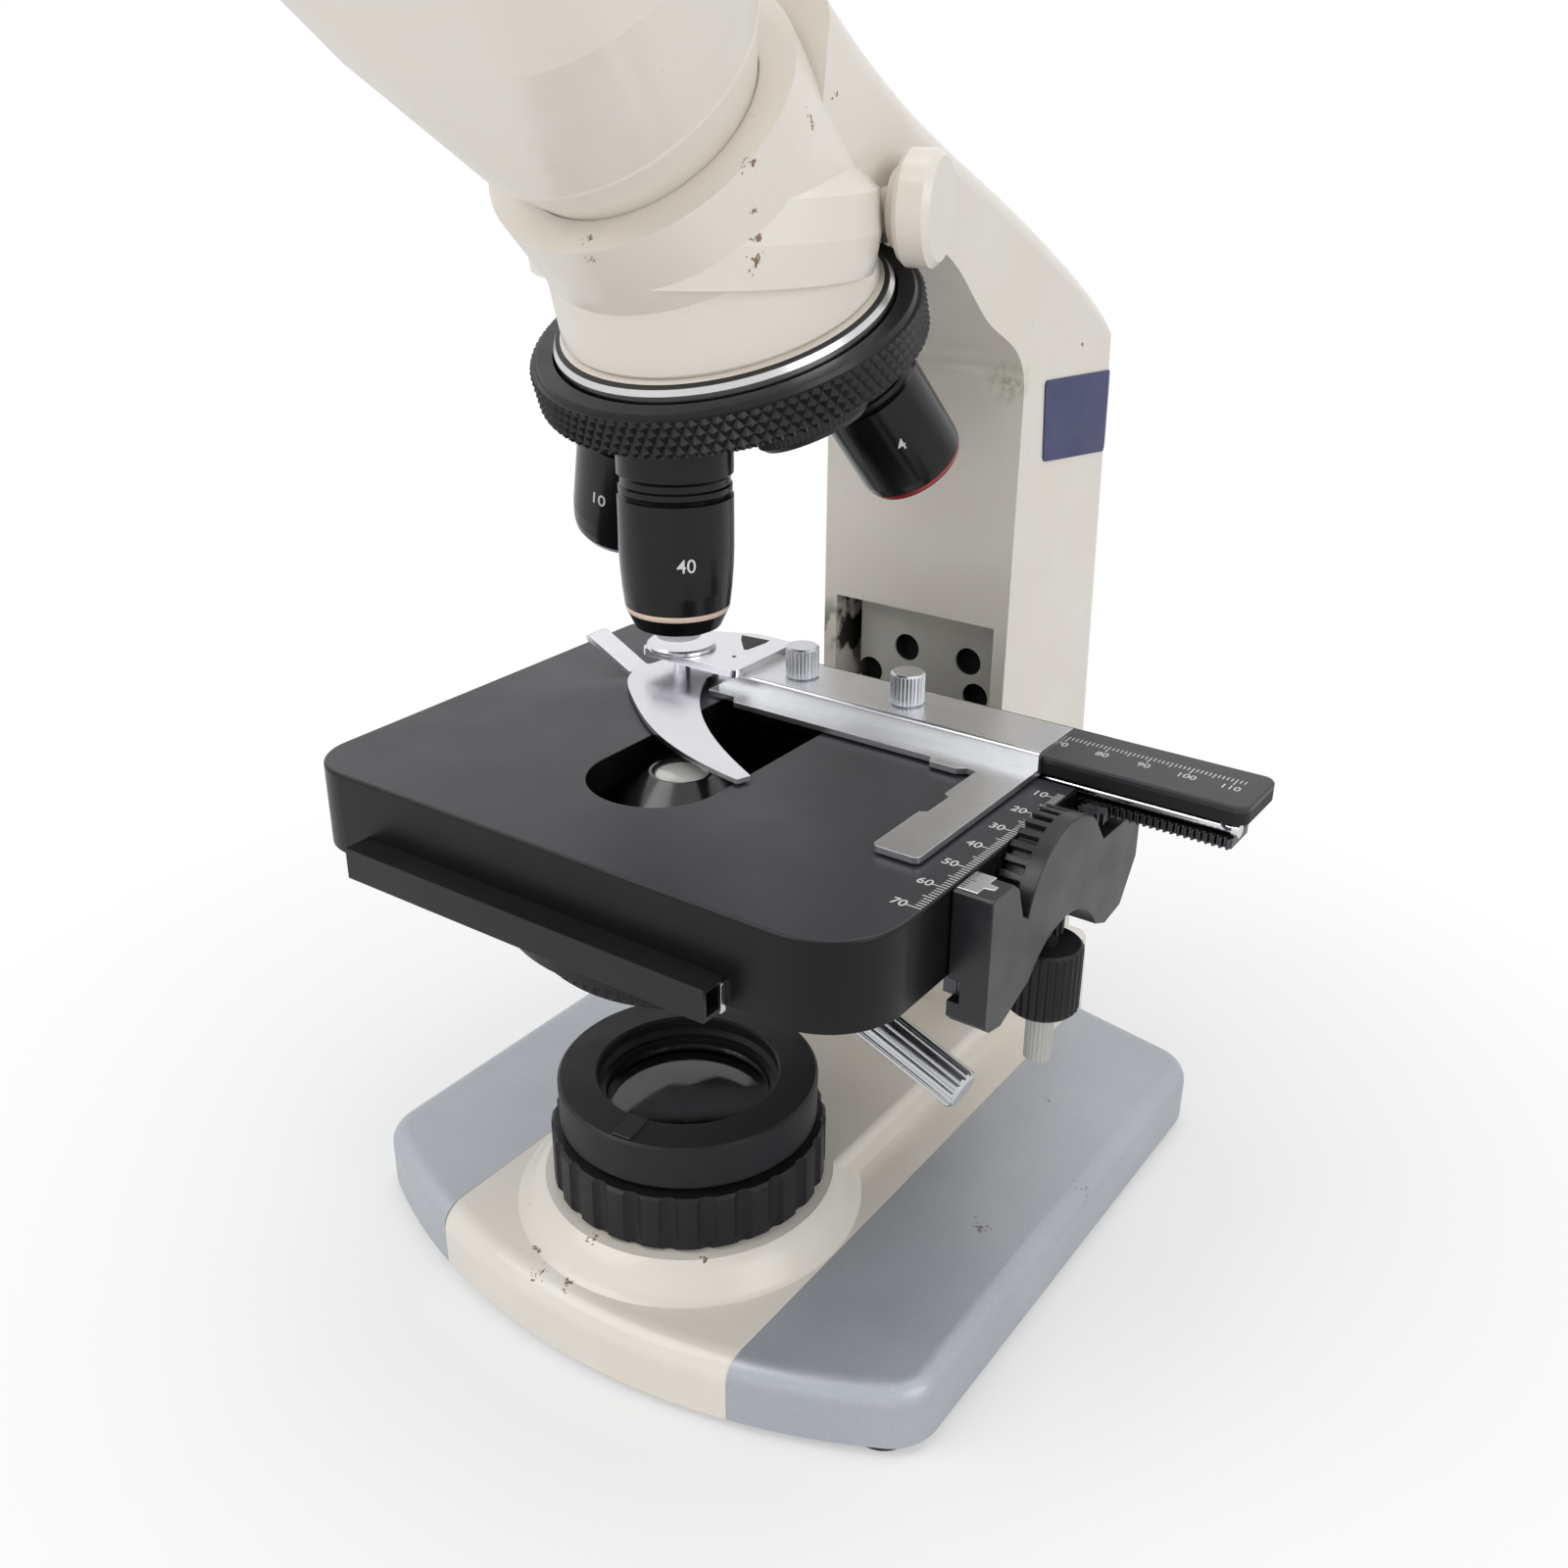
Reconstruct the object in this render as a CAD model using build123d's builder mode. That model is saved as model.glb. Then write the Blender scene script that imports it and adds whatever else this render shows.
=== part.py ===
from build123d import *
import os
from math import cos, degrees, pi, radians, sin, sqrt

# Binocular compound microscope. Origin on the table under the optical axis,
# X to the user's right, Y away from the user, Z up, millimetres.
os.makedirs("parts", exist_ok=True)

# Clearances
running_gap = 0.05
slide_gap = 0.3
thread_gap = 0.05

# Base
base_half_width = 86.7
tongue_half_width = 45.4
seam_gap = 0.2
wing_top = 19.5
foot_height = 3.0
base_front = 51.5
base_front_radius = 165.0
wing_rear = 141.3
wing_rear_sweep = 8.0
wing_corner_radius = 13.0
wing_edge_radius = 5.0
wing_wall = 3.0
tongue_rear = 170.0
tongue_edge_radius = 6.0
plate_thickness = 1.2
plate_inset = 3.0
foot_radius = 7.5
foot_front = 24.0
foot_rear = 122.0
foot_side = 75.0
hump_top = 27.5
hump_outer_radius = 45.0
hump_flat_radius = 37.5
spine_half_width = 33.0
spine_top = 27.5
spine_edge_radius = 3.0

# Column and arm
column_half_width = 29.3
column_front = 103.4
column_back_foot = 168.0
column_back_top = 157.5
arm_shoulder_height = 222.5
arm_edge_radius = 5.0
shoulder_radius = 8.0
window_half_width = 25.3
window_top = 150.1
window_bottom = 66.0
channel_back = 152.0
channel_floor = 30.0
channel_top = 180.0
hollow_top = 22.5
hollow_half_width = 30.0
hollow_length = 96.0
inlet_half_width = 13.6
inlet_low = 4.6
inlet_high = 24.0
switch_z = 52.0
switch_half_width = 10.5
switch_half_height = 7.0
switch_wall = 2.0
rocker_swing_gap = 0.8
rocker_pin_radius = 1.2
rocker_pin_depth = 3.0

# Head seat, an inclined collar on the arm
head_incline = 45.0
seat_y = -9.1
seat_z = 280.0
barrel_radius = 25.2
collar_radius = 33.0
collar_depth = 42.0
seat_depth = 9.0
stub_radius = 17.0
stub_length = 12.0
cap_radius = 35.5
cap_y = 11.0
cap_z = 250.0
cap_height = 16.0
cap_step = 1.2
optical_bore_radius = 10.0

# Revolving nosepiece
turret_tilt = 20.0
turret_y = 20.8
turret_z = 230.8
turret_radius = 42.3
turret_height = 9.6
turret_lip = 2.2
turret_inner_radius = 37.6
turret_floor = 3.0
pivot_radius = 5.0
mount_radius = 34.4
mount_height = 13.2
port_count = 5
port_boss_radius = 12.6
port_boss_height = 6.0
port_thread_radius = 10.15
knurl_count = 60
knurl_depth = 0.9

# Objectives, by length from the seat and largest radius
high_power_length = 44.4
objective_radius = 12.6
collar_groove = 0.7
low_power_length = 38.4
middle_power_length = 43.4
thread_length = 4.5

# Stage
stage_top = 142.4
stage_thickness = 20.3
stage_left = 70.9
stage_right = 81.1
stage_front = 51.6
stage_back = 71.4
stage_front_radius = 18.0
stage_left_radius = 13.0
stage_back_radius = 7.0
stage_skin = 8.0
stage_wall = 6.0
stage_edge_radius = 0.8
aperture_radius = 16.2
aperture_centre_x = 1.5
aperture_centre_y = -10.4
aperture_back = 44.0
channel_front_y = 39.3
channel_rear_y = 51.4
channel_start = 20.0
channel_depth = 5.6
rail_size = 6.5
rail_wall = 1.0
rail_left = 50.0
rail_right = 51.0

# Slide carriage
ruler_left = -18.0
ruler_right = 119.0
ruler_front = 40.5
ruler_back = 60.0
ruler_bottom = 143.2
ruler_thickness = 4.2
ruler_corner = 3.0
gear_module = 0.5
gear_teeth = 12
gear_bottom = 137.0
gear_height = 2.6
rack_left = 50.0
rack_right = 117.5
rack_bottom = 137.3
rack_height = 2.4
rack_back = 50.6
web_front = 44.4
web_back = 47.0
rod_y = 42.6
rod_z = 141.4
rod_radius = 1.2
rod_left = 54.0
rod_right = 116.0
holder_thickness = 1.5
holder_low = 143.0
holder_left = -18.5
holder_right = 71.5
holder_front = 31.5
holder_back = 56.0
holder_arm_left = 60.5
holder_arm_front = -14.0
screw_first_x = 1.5
screw_pitch = 30.5
screw_y = 47.0
screw_head_radius = 4.2
screw_head_height = 8.0
screw_shank_radius = 1.8
finger_pivot_x = -33.0
finger_pivot_y = 42.0
finger_thickness = 1.3
finger_tip_x = 19.3
finger_tip_y = -4.4
lever_plate_left = -41.0
lever_plate_right = -10.5
lever_plate_front = 35.0
lever_plate_thickness = 2.0
disc_radius = 9.0
disc_height = 1.4

# Drive bracket and coaxial drives
bracket_inner = 81.4
bracket_outer = 90.4
drive_x = 86.0
drive_y = 19.5
drive_shaft_radius = 2.4
x_shaft_radius = 1.3
idler_pin_radius = 0.9
y_gear_bottom = 117.4
y_knob_radius = 8.2
y_knob_bottom = 98.0
y_knob_height = 16.5
x_knob_radius = 3.2
x_knob_bottom = 84.0
hump_y = 18.4
hump_z = 128.2
hump_radius = 17.6
y_rack_x = 83.0
y_rack_depth = 3.6

# Condenser
condenser_top = 139.8
condenser_lens_radius = 6.3
condenser_rim_radius = 7.6
condenser_cone_radius = 14.6
condenser_body_radius = 26.0
condenser_neck_radius = 20.0
condenser_bottom = 90.5
ring_radius = 36.0
ring_bottom = 97.0
ring_height = 8.2
ring_ribs = 72
carrier_top = 121.8
carrier_bottom = 105.6
carrier_radius = 43.0
carrier_rear = 82.0
carrier_half_width = 21.0
guide_rail_x = 33.0
guide_rail_width = 6.0
guide_rail_half = 28.0
iris_radius = 24.0
iris_height = 5.5
handle_radius_root = 2.4
handle_radius = 4.8
handle_root = 37.0
handle_end = 79.5
handle_drop = 20.0
handle_turn = -2.0
handle_ribs = 14

# Field lens
field_top = 56.6
field_radius = 32.9
field_lens_radius = 20.5
field_ring_radius = 35.2
field_ring_top = 43.4
field_ring_bottom = 28.0
field_ribs = 24
collector_radius = 27.0

# Lamp and switches
lamp_z = 13.0
dimmer_radius = 11.0
dimmer_proud = 2.5
dimmer_y = 20.0
dimmer_low = 6.8
dimmer_height = 6.0

# Focus drive
slide_front = 112.0
slide_thickness = 14.0
slide_half_width = 22.0
slide_bottom = 35.0
slide_height = 114.0
guide_half_width = 9.0
guide_neck = 6.5
guide_bottom = 82.0
focus_axis_z = 70.0
focus_teeth = 20
focus_module = 0.8
focus_rack_x = 12.0
focus_rack_width = 7.0
focus_rack_depth = 2.4
focus_rack_pitches_below = 14
focus_rack_pitches = 19
focus_shaft_radius = 4.0
fine_shaft_radius = 2.4
coarse_radius = 21.0
coarse_width = 17.0
fine_radius = 11.5
fine_width = 13.0
knob_gap = 0.8

# Head
head_lip = 0.6
head_cone_height = 10.8
head_cone_radius = 30.4
head_waist = 40.0
head_waist_width = 82.0
head_waist_depth = 62.0
head_waist_corner = 28.0
head_end = 62.0
head_end_width = 92.0
head_end_depth = 60.0
head_end_corner = 26.0
hinge_pin_radius = 6.0
hinge_drop = -11.0
lug_radius = 15.6
arm_plate = 9.0
arm_gap = 0.4
tube_reach = 38.0
interpupillary = 62.0
tube_radius = 13.6
tube_length = 26.0
tube_boss_radius = 21.0
sleeve_radius = 11.6
eyepiece_radius = 17.0
eyepiece_height = 27.0
eyecup_radius = 20.5
eyecup_height = 9.0
eye_lens_radius = 9.0
diopter_radius = 17.0
diopter_height = 8.0
diopter_ribs = 40

# Clamp knob of the head seat
clamp_turn = 15.0
clamp_radius = 11.6
clamp_width = 10.0
clamp_x = 31.5
clamp_y = 34.5
clamp_z = 262.0
clamp_screw_radius = 4.0


def axial(frame):
    """Plane through the axis of a frame: local x is its x, local y its z."""
    return Plane(origin=frame.origin, x_dir=frame.x_dir, z_dir=-frame.y_dir)


def turn(frame, outline, mode=Mode.ADD):
    """Revolve a closed outline of (radius, height) points about a frame's z."""
    with BuildSketch(axial(frame)) as section:
        with BuildLine():
            Polyline(*outline, close=True)
        make_face()
    revolve(section.sketch, axis=Axis(frame.origin, frame.z_dir), mode=mode)


def rod(frame, radius, low, high, mode=Mode.ADD):
    """Round bar along a frame's z, from low to high."""
    turn(frame, [(0, low), (radius, low), (radius, high), (0, high)], mode)


def tube(frame, outer, inner, low, high, mode=Mode.ADD):
    """Ring along a frame's z."""
    turn(frame, [(inner, low), (outer, low), (outer, high), (inner, high)], mode)


def block(low, high, mode=Mode.ADD):
    """Box between two corners."""
    size = [b - a for a, b in zip(low, high)]
    with BuildSketch(Plane.XY.offset(low[2])) as section:
        with Locations(((low[0] + high[0]) / 2, (low[1] + high[1]) / 2)):
            Rectangle(size[0], size[1])
    extrude(section.sketch, amount=size[2], mode=mode)


def lens(frame, radius, low, high, rise):
    """Lens with a flat lower face and a domed upper face along a frame's z."""
    ball = (radius**2 + rise**2) / (2 * rise)
    half = high + rise - ball + sqrt(ball**2 - radius**2 / 4)
    with BuildSketch(axial(frame)) as section:
        with BuildLine():
            Polyline((0, high + rise), (0, low), (radius, low), (radius, high))
            ThreePointArc((radius, high), (radius / 2, half), (0, high + rise))
        make_face()
    revolve(section.sketch, axis=Axis(frame.origin, frame.z_dir))


def grooves(frame, count, radius, groove_radius, low, high):
    """Cut equal round grooves along a frame's z round a drum."""
    with BuildSketch(frame.offset(low)) as section:
        with PolarLocations(radius, count):
            Circle(groove_radius)
    extrude(section.sketch, amount=high - low, mode=Mode.SUBTRACT)


def gear_outline(teeth, module, clearance=0.12):
    """Points of a spur gear with straight-sided teeth."""
    pitch = teeth * module / 2
    points = []
    step = 2 * pi / teeth
    for tooth in range(teeth):
        middle = tooth * step
        for share, radius in (
            (-0.36, pitch - 1.2 * module),
            (-0.14, pitch + module - clearance),
            (0.14, pitch + module - clearance),
            (0.36, pitch - 1.2 * module),
        ):
            angle = middle + share * step
            points.append((radius * cos(angle), radius * sin(angle)))
    return points


def rack_outline(length, module, base):
    """Points of a rack whose teeth point to local -y, pitch line on y = 0, from x = 0."""
    pitch = pi * module
    count = int(length / pitch)
    depth = 1.1 * module
    points = [(0, base), (0, depth)]
    for tooth in range(count):
        start = tooth * pitch
        points.append((start + 0.14 * pitch, depth))
        points.append((start + 0.37 * pitch, -0.85 * module))
        points.append((start + 0.63 * pitch, -0.85 * module))
        points.append((start + 0.86 * pitch, depth))
    points.append((length, depth))
    points.append((length, base))
    return points


def save(piece, name):
    """Label a finished piece and write its file."""
    piece.label = name
    export_step(piece, f"parts/{name}.step")


# Frames of the tilted and inclined assemblies
tilt = radians(turret_tilt)
turret_frame = Plane(
    origin=(0, turret_y, turret_z), x_dir=(1, 0, 0), z_dir=(0, -sin(tilt), cos(tilt))
)
incline = radians(head_incline)
head_frame = Plane(
    origin=(0, seat_y, seat_z), x_dir=(1, 0, 0), z_dir=(0, -sin(incline), cos(incline))
)
apex = turret_frame.origin + turret_frame.z_dir * (turret_y / sin(tilt))
port_radius = turret_y / cos(tilt)

focus_axis_y = slide_front + slide_thickness + focus_rack_depth + focus_teeth * focus_module / 2
focus_frame = Plane(origin=(0, focus_axis_y, focus_axis_z), x_dir=(0, 1, 0), z_dir=(1, 0, 0))
clamp_frame = Plane(
    origin=(clamp_x, clamp_y, clamp_z),
    x_dir=(0, 0, 1),
    z_dir=(cos(radians(clamp_turn)), sin(radians(clamp_turn)), 0),
)


def port_frame(index, drop=0.0):
    """Frame of one nosepiece port: z points out along the objective."""
    angle = -pi / 2 - index * 2 * pi / port_count
    radial = turret_frame.x_dir * cos(angle) + turret_frame.y_dir * sin(angle)
    outward = turret_frame.z_dir * -cos(tilt) + radial * sin(tilt)
    seat = turret_frame.origin + radial * port_radius
    side = turret_frame.z_dir.cross(radial)
    return Plane(origin=seat + outward * drop, x_dir=side, z_dir=outward)


# Plan of the base front: one shallow arc across wings and tongue
def front_y(x):
    """Front edge of the base at a distance from the centre line."""
    return -base_front + base_front_radius - sqrt(base_front_radius**2 - x**2)


def wing_plan(inset):
    """Outline of the right wing in plan, drawn in by an inset."""
    inner = tongue_half_width + seam_gap / 2
    with BuildSketch() as plan:
        with BuildLine():
            start = (inner, front_y(inner))
            end = (base_half_width, front_y(base_half_width))
            middle = ((start[0] + end[0]) / 2, front_y((start[0] + end[0]) / 2))
            ThreePointArc(start, middle, end)
            Line(end, (base_half_width, wing_rear - wing_rear_sweep))
            Line((base_half_width, wing_rear - wing_rear_sweep), (inner, wing_rear))
            Line((inner, wing_rear), start)
        make_face()
        outer = plan.vertices().group_by(Axis.X)[-1]
        fillet(outer, wing_corner_radius)
        if inset > 0:
            offset(amount=-inset, mode=Mode.REPLACE)
    return plan.sketch


# Base wings: thin castings open below, closed by the bottom plate
with BuildPart() as wing_right:
    add(wing_plan(0).moved(Location((0, 0, foot_height))))
    extrude(amount=wing_top - foot_height)
    top_rim = wing_right.faces().sort_by(Axis.Z)[-1].edges()
    outer_rim = top_rim.filter_by(lambda e: e.center().X > tongue_half_width + 1)
    fillet(outer_rim, wing_edge_radius)
    add(wing_plan(wing_wall).moved(Location((0, 0, foot_height))))
    extrude(amount=wing_top - foot_height - wing_wall - 1.0, mode=Mode.SUBTRACT)
    for y in (-foot_front, foot_rear):
        rod(Plane((foot_side, y, 0)), foot_radius - 1.5, foot_height, wing_top - wing_wall)

with BuildPart() as wing_left:
    add(mirror(wing_right.part, about=Plane.YZ, mode=Mode.PRIVATE))
    # Slot of the dimmer wheel
    block(
        (-base_half_width - 1, dimmer_y - dimmer_radius, dimmer_low - 0.6),
        (-base_half_width + wing_wall + 2, dimmer_y + dimmer_radius, dimmer_low + dimmer_height + 0.6),
        Mode.SUBTRACT,
    )

save(wing_right.part, "base_wing_right")
save(wing_left.part, "base_wing_left")

# Bottom plate and the rubber feet under the corners
with BuildPart() as bottom_plate:
    with BuildSketch(Plane.XY.offset(foot_height - plate_thickness)):
        with BuildLine():
            edge = base_half_width - plate_inset
            front_arc = ThreePointArc(
                (-edge, front_y(edge) + plate_inset),
                (0, front_y(0) + plate_inset),
                (edge, front_y(edge) + plate_inset),
            )
            rear_corner = wing_rear - wing_rear_sweep - plate_inset
            Line(front_arc @ 1, (edge, rear_corner))
            Line((edge, rear_corner), (tongue_half_width, wing_rear - plate_inset))
            Line((tongue_half_width, wing_rear - plate_inset), (tongue_half_width - 6, tongue_rear - 12))
            Line((tongue_half_width - 6, tongue_rear - 12), (6 - tongue_half_width, tongue_rear - 12))
            Line((6 - tongue_half_width, tongue_rear - 12), (-tongue_half_width, wing_rear - plate_inset))
            Line((-tongue_half_width, wing_rear - plate_inset), (-edge, rear_corner))
            Line((-edge, rear_corner), front_arc @ 0)
        make_face()
        for x in (-foot_side, foot_side):
            for y in (-foot_front, foot_rear):
                with Locations((x, y)):
                    Circle(foot_radius + slide_gap, mode=Mode.SUBTRACT)
    extrude(amount=plate_thickness)
    screw_spots = [(-38, -22), (38, -22), (-38, 128), (38, 128)]
    for x, y in screw_spots:
        rod(Plane((x, y, 0)), 1.6, 0, foot_height + 1, Mode.SUBTRACT)

save(bottom_plate.part, "bottom_plate")

with BuildPart() as rubber_feet:
    for x in (-foot_side, foot_side):
        for y in (-foot_front, foot_rear):
            turn(
                Plane((x, y, 0)),
                [
                    (0, 0),
                    (foot_radius - 1.2, 0),
                    (foot_radius, 1.2),
                    (foot_radius, foot_height),
                    (0, foot_height),
                ],
            )

save(rubber_feet.part, "rubber_feet")

with BuildPart() as plate_screws:
    for x, y in screw_spots:
        turn(
            Plane((x, y, 0)),
            [
                (0, 0.6),
                (2.6, 0.6),
                (2.9, 1.0),
                (2.9, foot_height - plate_thickness),
                (1.5, foot_height - plate_thickness),
                (1.5, foot_height + 5),
                (0, foot_height + 5),
            ],
        )

save(plate_screws.part, "plate_screws")

# Stand casting: tongue of the base, column, arm, head seat and nosepiece mount
with BuildPart() as stand:
    with BuildSketch(Plane.YZ.offset(-column_half_width)) as stand_side:
        with BuildLine():
            crest = Spline(
                (13.0, 302.0),
                (49.0, 279.2),
                (91.6, 259.5),
                (123.0, 244.0),
                (column_back_top, arm_shoulder_height),
                tangents=((0.78, -0.62), (0.74, -0.67)),
            )
            Line(crest @ 1, (column_back_foot, spine_top - 2))
            Line((column_back_foot, spine_top - 2), (column_front, spine_top - 2))
            Line((column_front, spine_top - 2), (column_front, 212.0))
            inner = Spline(
                (column_front, 212.0),
                (84.0, 232.0),
                (66.0, 247.0),
                (46.0, 256.0),
                tangents=((0, 1), (-0.95, 0.3)),
            )
            Line(inner @ 1, (8.0, 262.0))
            Line((8.0, 262.0), crest @ 0)
        make_face()
        shoulder = stand_side.vertices().sort_by(Axis.Y)
        fillet([v for v in shoulder if abs(v.Z - arm_shoulder_height) < 0.01], shoulder_radius)
    extrude(amount=2 * column_half_width)
    side_rims = stand.edges().filter_by(
        lambda e: abs(abs(e.center().X) - column_half_width) < 0.01
        and e.length > 60
        and (e.center().Y > column_back_top - 6 or e.center().Z > 255)
    )
    fillet(side_rims, arm_edge_radius)
    # Tongue of the base with its rounded front edge
    with BuildSketch(Plane.XY.offset(foot_height)):
        with BuildLine():
            front = ThreePointArc(
                (-tongue_half_width, front_y(tongue_half_width)),
                (0, front_y(0)),
                (tongue_half_width, front_y(tongue_half_width)),
            )
            Line(front @ 1, (tongue_half_width, wing_rear))
            Line((tongue_half_width, wing_rear), (column_half_width + 4, tongue_rear))
            Line((column_half_width + 4, tongue_rear), (-column_half_width - 4, tongue_rear))
            Line((-column_half_width - 4, tongue_rear), (-tongue_half_width, wing_rear))
            Line((-tongue_half_width, wing_rear), front @ 0)
        make_face()
    extrude(amount=wing_top - foot_height)
    front_rim = stand.edges().filter_by(
        lambda e: abs(e.center().Z - wing_top) < 0.01 and e.center().Y < -40
    )
    fillet(front_rim, tongue_edge_radius)
    # Raised spine between the field lens and the column
    with BuildSketch(Plane.XY.offset(wing_top - 2)) as spine:
        with Locations((0, tongue_rear / 2)):
            Rectangle(2 * spine_half_width, tongue_rear)
    extrude(amount=spine_top - wing_top + 2)
    spine_rims = stand.edges().filter_by(
        lambda e: abs(e.center().Z - spine_top) < 0.01
        and abs(abs(e.center().X) - spine_half_width) < 0.01
    )
    fillet(spine_rims, spine_edge_radius)
    # Swelling round the field lens
    with BuildSketch(Plane.XZ):
        with BuildLine():
            Line((0, wing_top - 3), (0, hump_top))
            Line((0, hump_top), (hump_flat_radius, hump_top))
            Spline(
                (hump_flat_radius, hump_top),
                (0.5 * (hump_flat_radius + hump_outer_radius), 0.5 * (hump_top + wing_top) + 0.4),
                (hump_outer_radius, wing_top),
                tangents=((0.8, -0.6), (0.9, -0.44)),
            )
            Line((hump_outer_radius, wing_top), (hump_outer_radius, wing_top - 3))
            Line((hump_outer_radius, wing_top - 3), (0, wing_top - 3))
        make_face()
    revolve(axis=Axis.Z)
    # Inclined collar of the head seat
    rod(head_frame, collar_radius, -collar_depth, 0)
    # Cap over the nosepiece, with the tapered mount below it
    turn(
        Plane((0, cap_y, 0)),
        [
            (0, cap_z),
            (cap_radius, cap_z),
            (cap_radius + 1.2, cap_z + cap_height * 0.5),
            (cap_radius + 0.4, cap_z + cap_height),
            (cap_radius - 5, cap_z + cap_height + 5),
            (0, cap_z + cap_height + 5),
        ],
    )
    turn(
        turret_frame,
        [
            (0, mount_height),
            (mount_radius - 0.8, mount_height),
            (mount_radius, mount_height + 0.8),
            (mount_radius - cap_step, mount_height + 22),
            (0, mount_height + 22),
        ],
    )
    # Room for the turning ring below the mount
    rod(turret_frame, turret_radius + 1.7, -20, mount_height, Mode.SUBTRACT)
    # Seat bore, stub bore and optical bore
    rod(head_frame, barrel_radius + slide_gap, -seat_depth, 12, Mode.SUBTRACT)
    rod(head_frame, stub_radius + running_gap, -seat_depth - stub_length, 0, Mode.SUBTRACT)
    rod(Plane.XY, optical_bore_radius, turret_z - 2, seat_z - 9, Mode.SUBTRACT)
    # Window, channel and rear lodging of the focus slide
    block(
        (-window_half_width, column_front - 1, window_bottom),
        (window_half_width, channel_back, window_top),
        Mode.SUBTRACT,
    )
    block(
        (-window_half_width, slide_front - 0.6, channel_floor),
        (window_half_width, channel_back, channel_top),
        Mode.SUBTRACT,
    )
    # Bore of the collector and hollow of the base
    rod(Plane.XY, collector_radius + running_gap, foot_height - 1, hump_top + 1, Mode.SUBTRACT)
    with BuildSketch(Plane.XY.offset(foot_height - 1)) as hollow:
        Circle(hollow_half_width)
        with Locations((0, hollow_length / 2)):
            Rectangle(2 * hollow_half_width, hollow_length)
    extrude(hollow.sketch, amount=hollow_top - foot_height + 1, mode=Mode.SUBTRACT)
    block((-26, 95, foot_height - 1), (26, 146, hollow_top), Mode.SUBTRACT)
    block(
        (-inlet_half_width - slide_gap, 145, inlet_low - slide_gap),
        (inlet_half_width + slide_gap, tongue_rear + 1, inlet_high + slide_gap),
        Mode.SUBTRACT,
    )
    # Opening of the rocker switch in the back of the column
    block(
        (-switch_half_width - slide_gap, channel_back - 1, switch_z - switch_half_height - slide_gap),
        (switch_half_width + slide_gap, 175, switch_z + switch_half_height + slide_gap),
        Mode.SUBTRACT,
    )
    for x, y in screw_spots:
        rod(Plane((x, y, 0)), 1.5 + thread_gap, foot_height - 1, foot_height + 6, Mode.SUBTRACT)
    # Bores of the focus shaft and of the head clamp screw
    shaft_bore = focus_shaft_radius + running_gap
    rod(focus_frame, shaft_bore, -column_half_width - 5, column_half_width - 5, Mode.SUBTRACT)
    rod(clamp_frame, clamp_screw_radius + running_gap, -14, 20, Mode.SUBTRACT)

save(stand.part, "stand_casting")

# Lamp, mirror and power parts inside the base
with BuildPart() as collector_mirror:
    with BuildSketch(Plane.YZ.offset(-11)):
        Polygon((-13, foot_height), (9, foot_height), (-13, foot_height + 16), align=None)
    extrude(amount=22)

save(collector_mirror.part, "collector_mirror")

lamp_frame = Plane(origin=(0, 44, lamp_z), x_dir=(1, 0, 0), z_dir=(0, 1, 0))
with BuildPart() as halogen_lamp:
    turn(
        lamp_frame,
        [
            (0, -13),
            (3, -12.2),
            (5.6, -9.5),
            (6, -6),
            (6, 4),
            (4.5, 6),
            (4.5, 12),
            (0, 12),
        ],
    )

save(halogen_lamp.part, "halogen_lamp")

with BuildPart() as lamp_socket:
    block((-9, 50.5, foot_height), (9, 66, foot_height + 17))
    rod(lamp_frame, 4.5 + slide_gap, 0, 12.4, Mode.SUBTRACT)

save(lamp_socket.part, "lamp_socket")

with BuildPart() as power_board:
    block((-24, 70, foot_height), (24, 140, foot_height + 1.6))
    block((-18, 98, foot_height + 1.6), (14, 130, foot_height + 17))
    block((-19, 76, foot_height + 1.6), (-9, 92, foot_height + 12))
    for x in (2, 14):
        rod(Plane((x, 84, 0)), 5, foot_height + 1.6, foot_height + 15)

save(power_board.part, "power_board")

with BuildPart() as power_inlet:
    block(
        (-inlet_half_width, tongue_rear - 20, inlet_low),
        (inlet_half_width, tongue_rear + 0.6, inlet_high),
    )
    shell_rims = power_inlet.edges().filter_by(Axis.Y)
    fillet(shell_rims, 2)
    socket_middle = (inlet_low + inlet_high) / 2
    block(
        (-12, tongue_rear - 15, socket_middle - 8),
        (12, tongue_rear + 1, socket_middle + 8),
        Mode.SUBTRACT,
    )
    for x, z in ((0, 2.0), (-7, -2.0), (7, -2.0)):
        block(
            (x - 1, tongue_rear - 16, socket_middle + z - 2.5),
            (x + 1, tongue_rear - 2, socket_middle + z + 2.5),
        )

save(power_inlet.part, "power_inlet")

# Rocker switch in the back of the column: frame with its rocking button
switch_back = column_back_foot - (column_back_foot - column_back_top) * (switch_z - spine_top) / 195
rocker_half_height = switch_half_height - switch_wall - rocker_swing_gap
rocker_pin_frame = Plane(
    origin=(0, switch_back - rocker_pin_depth, switch_z), x_dir=(0, 1, 0), z_dir=(1, 0, 0)
)
rocker_pin_half = switch_half_width - 0.5
with BuildPart() as switch_frame:
    block(
        (-switch_half_width, channel_back + 1, switch_z - switch_half_height),
        (switch_half_width, switch_back + 1.2, switch_z + switch_half_height),
    )
    block(
        (-switch_half_width + 2, channel_back + 3, switch_z - switch_half_height + 2),
        (switch_half_width - 2, switch_back + 2, switch_z + switch_half_height - 2),
        Mode.SUBTRACT,
    )
    pin_bore = rocker_pin_radius + running_gap
    rod(rocker_pin_frame, pin_bore, -rocker_pin_half - 0.1, rocker_pin_half + 0.1, Mode.SUBTRACT)

save(switch_frame.part, "switch_frame")

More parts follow.
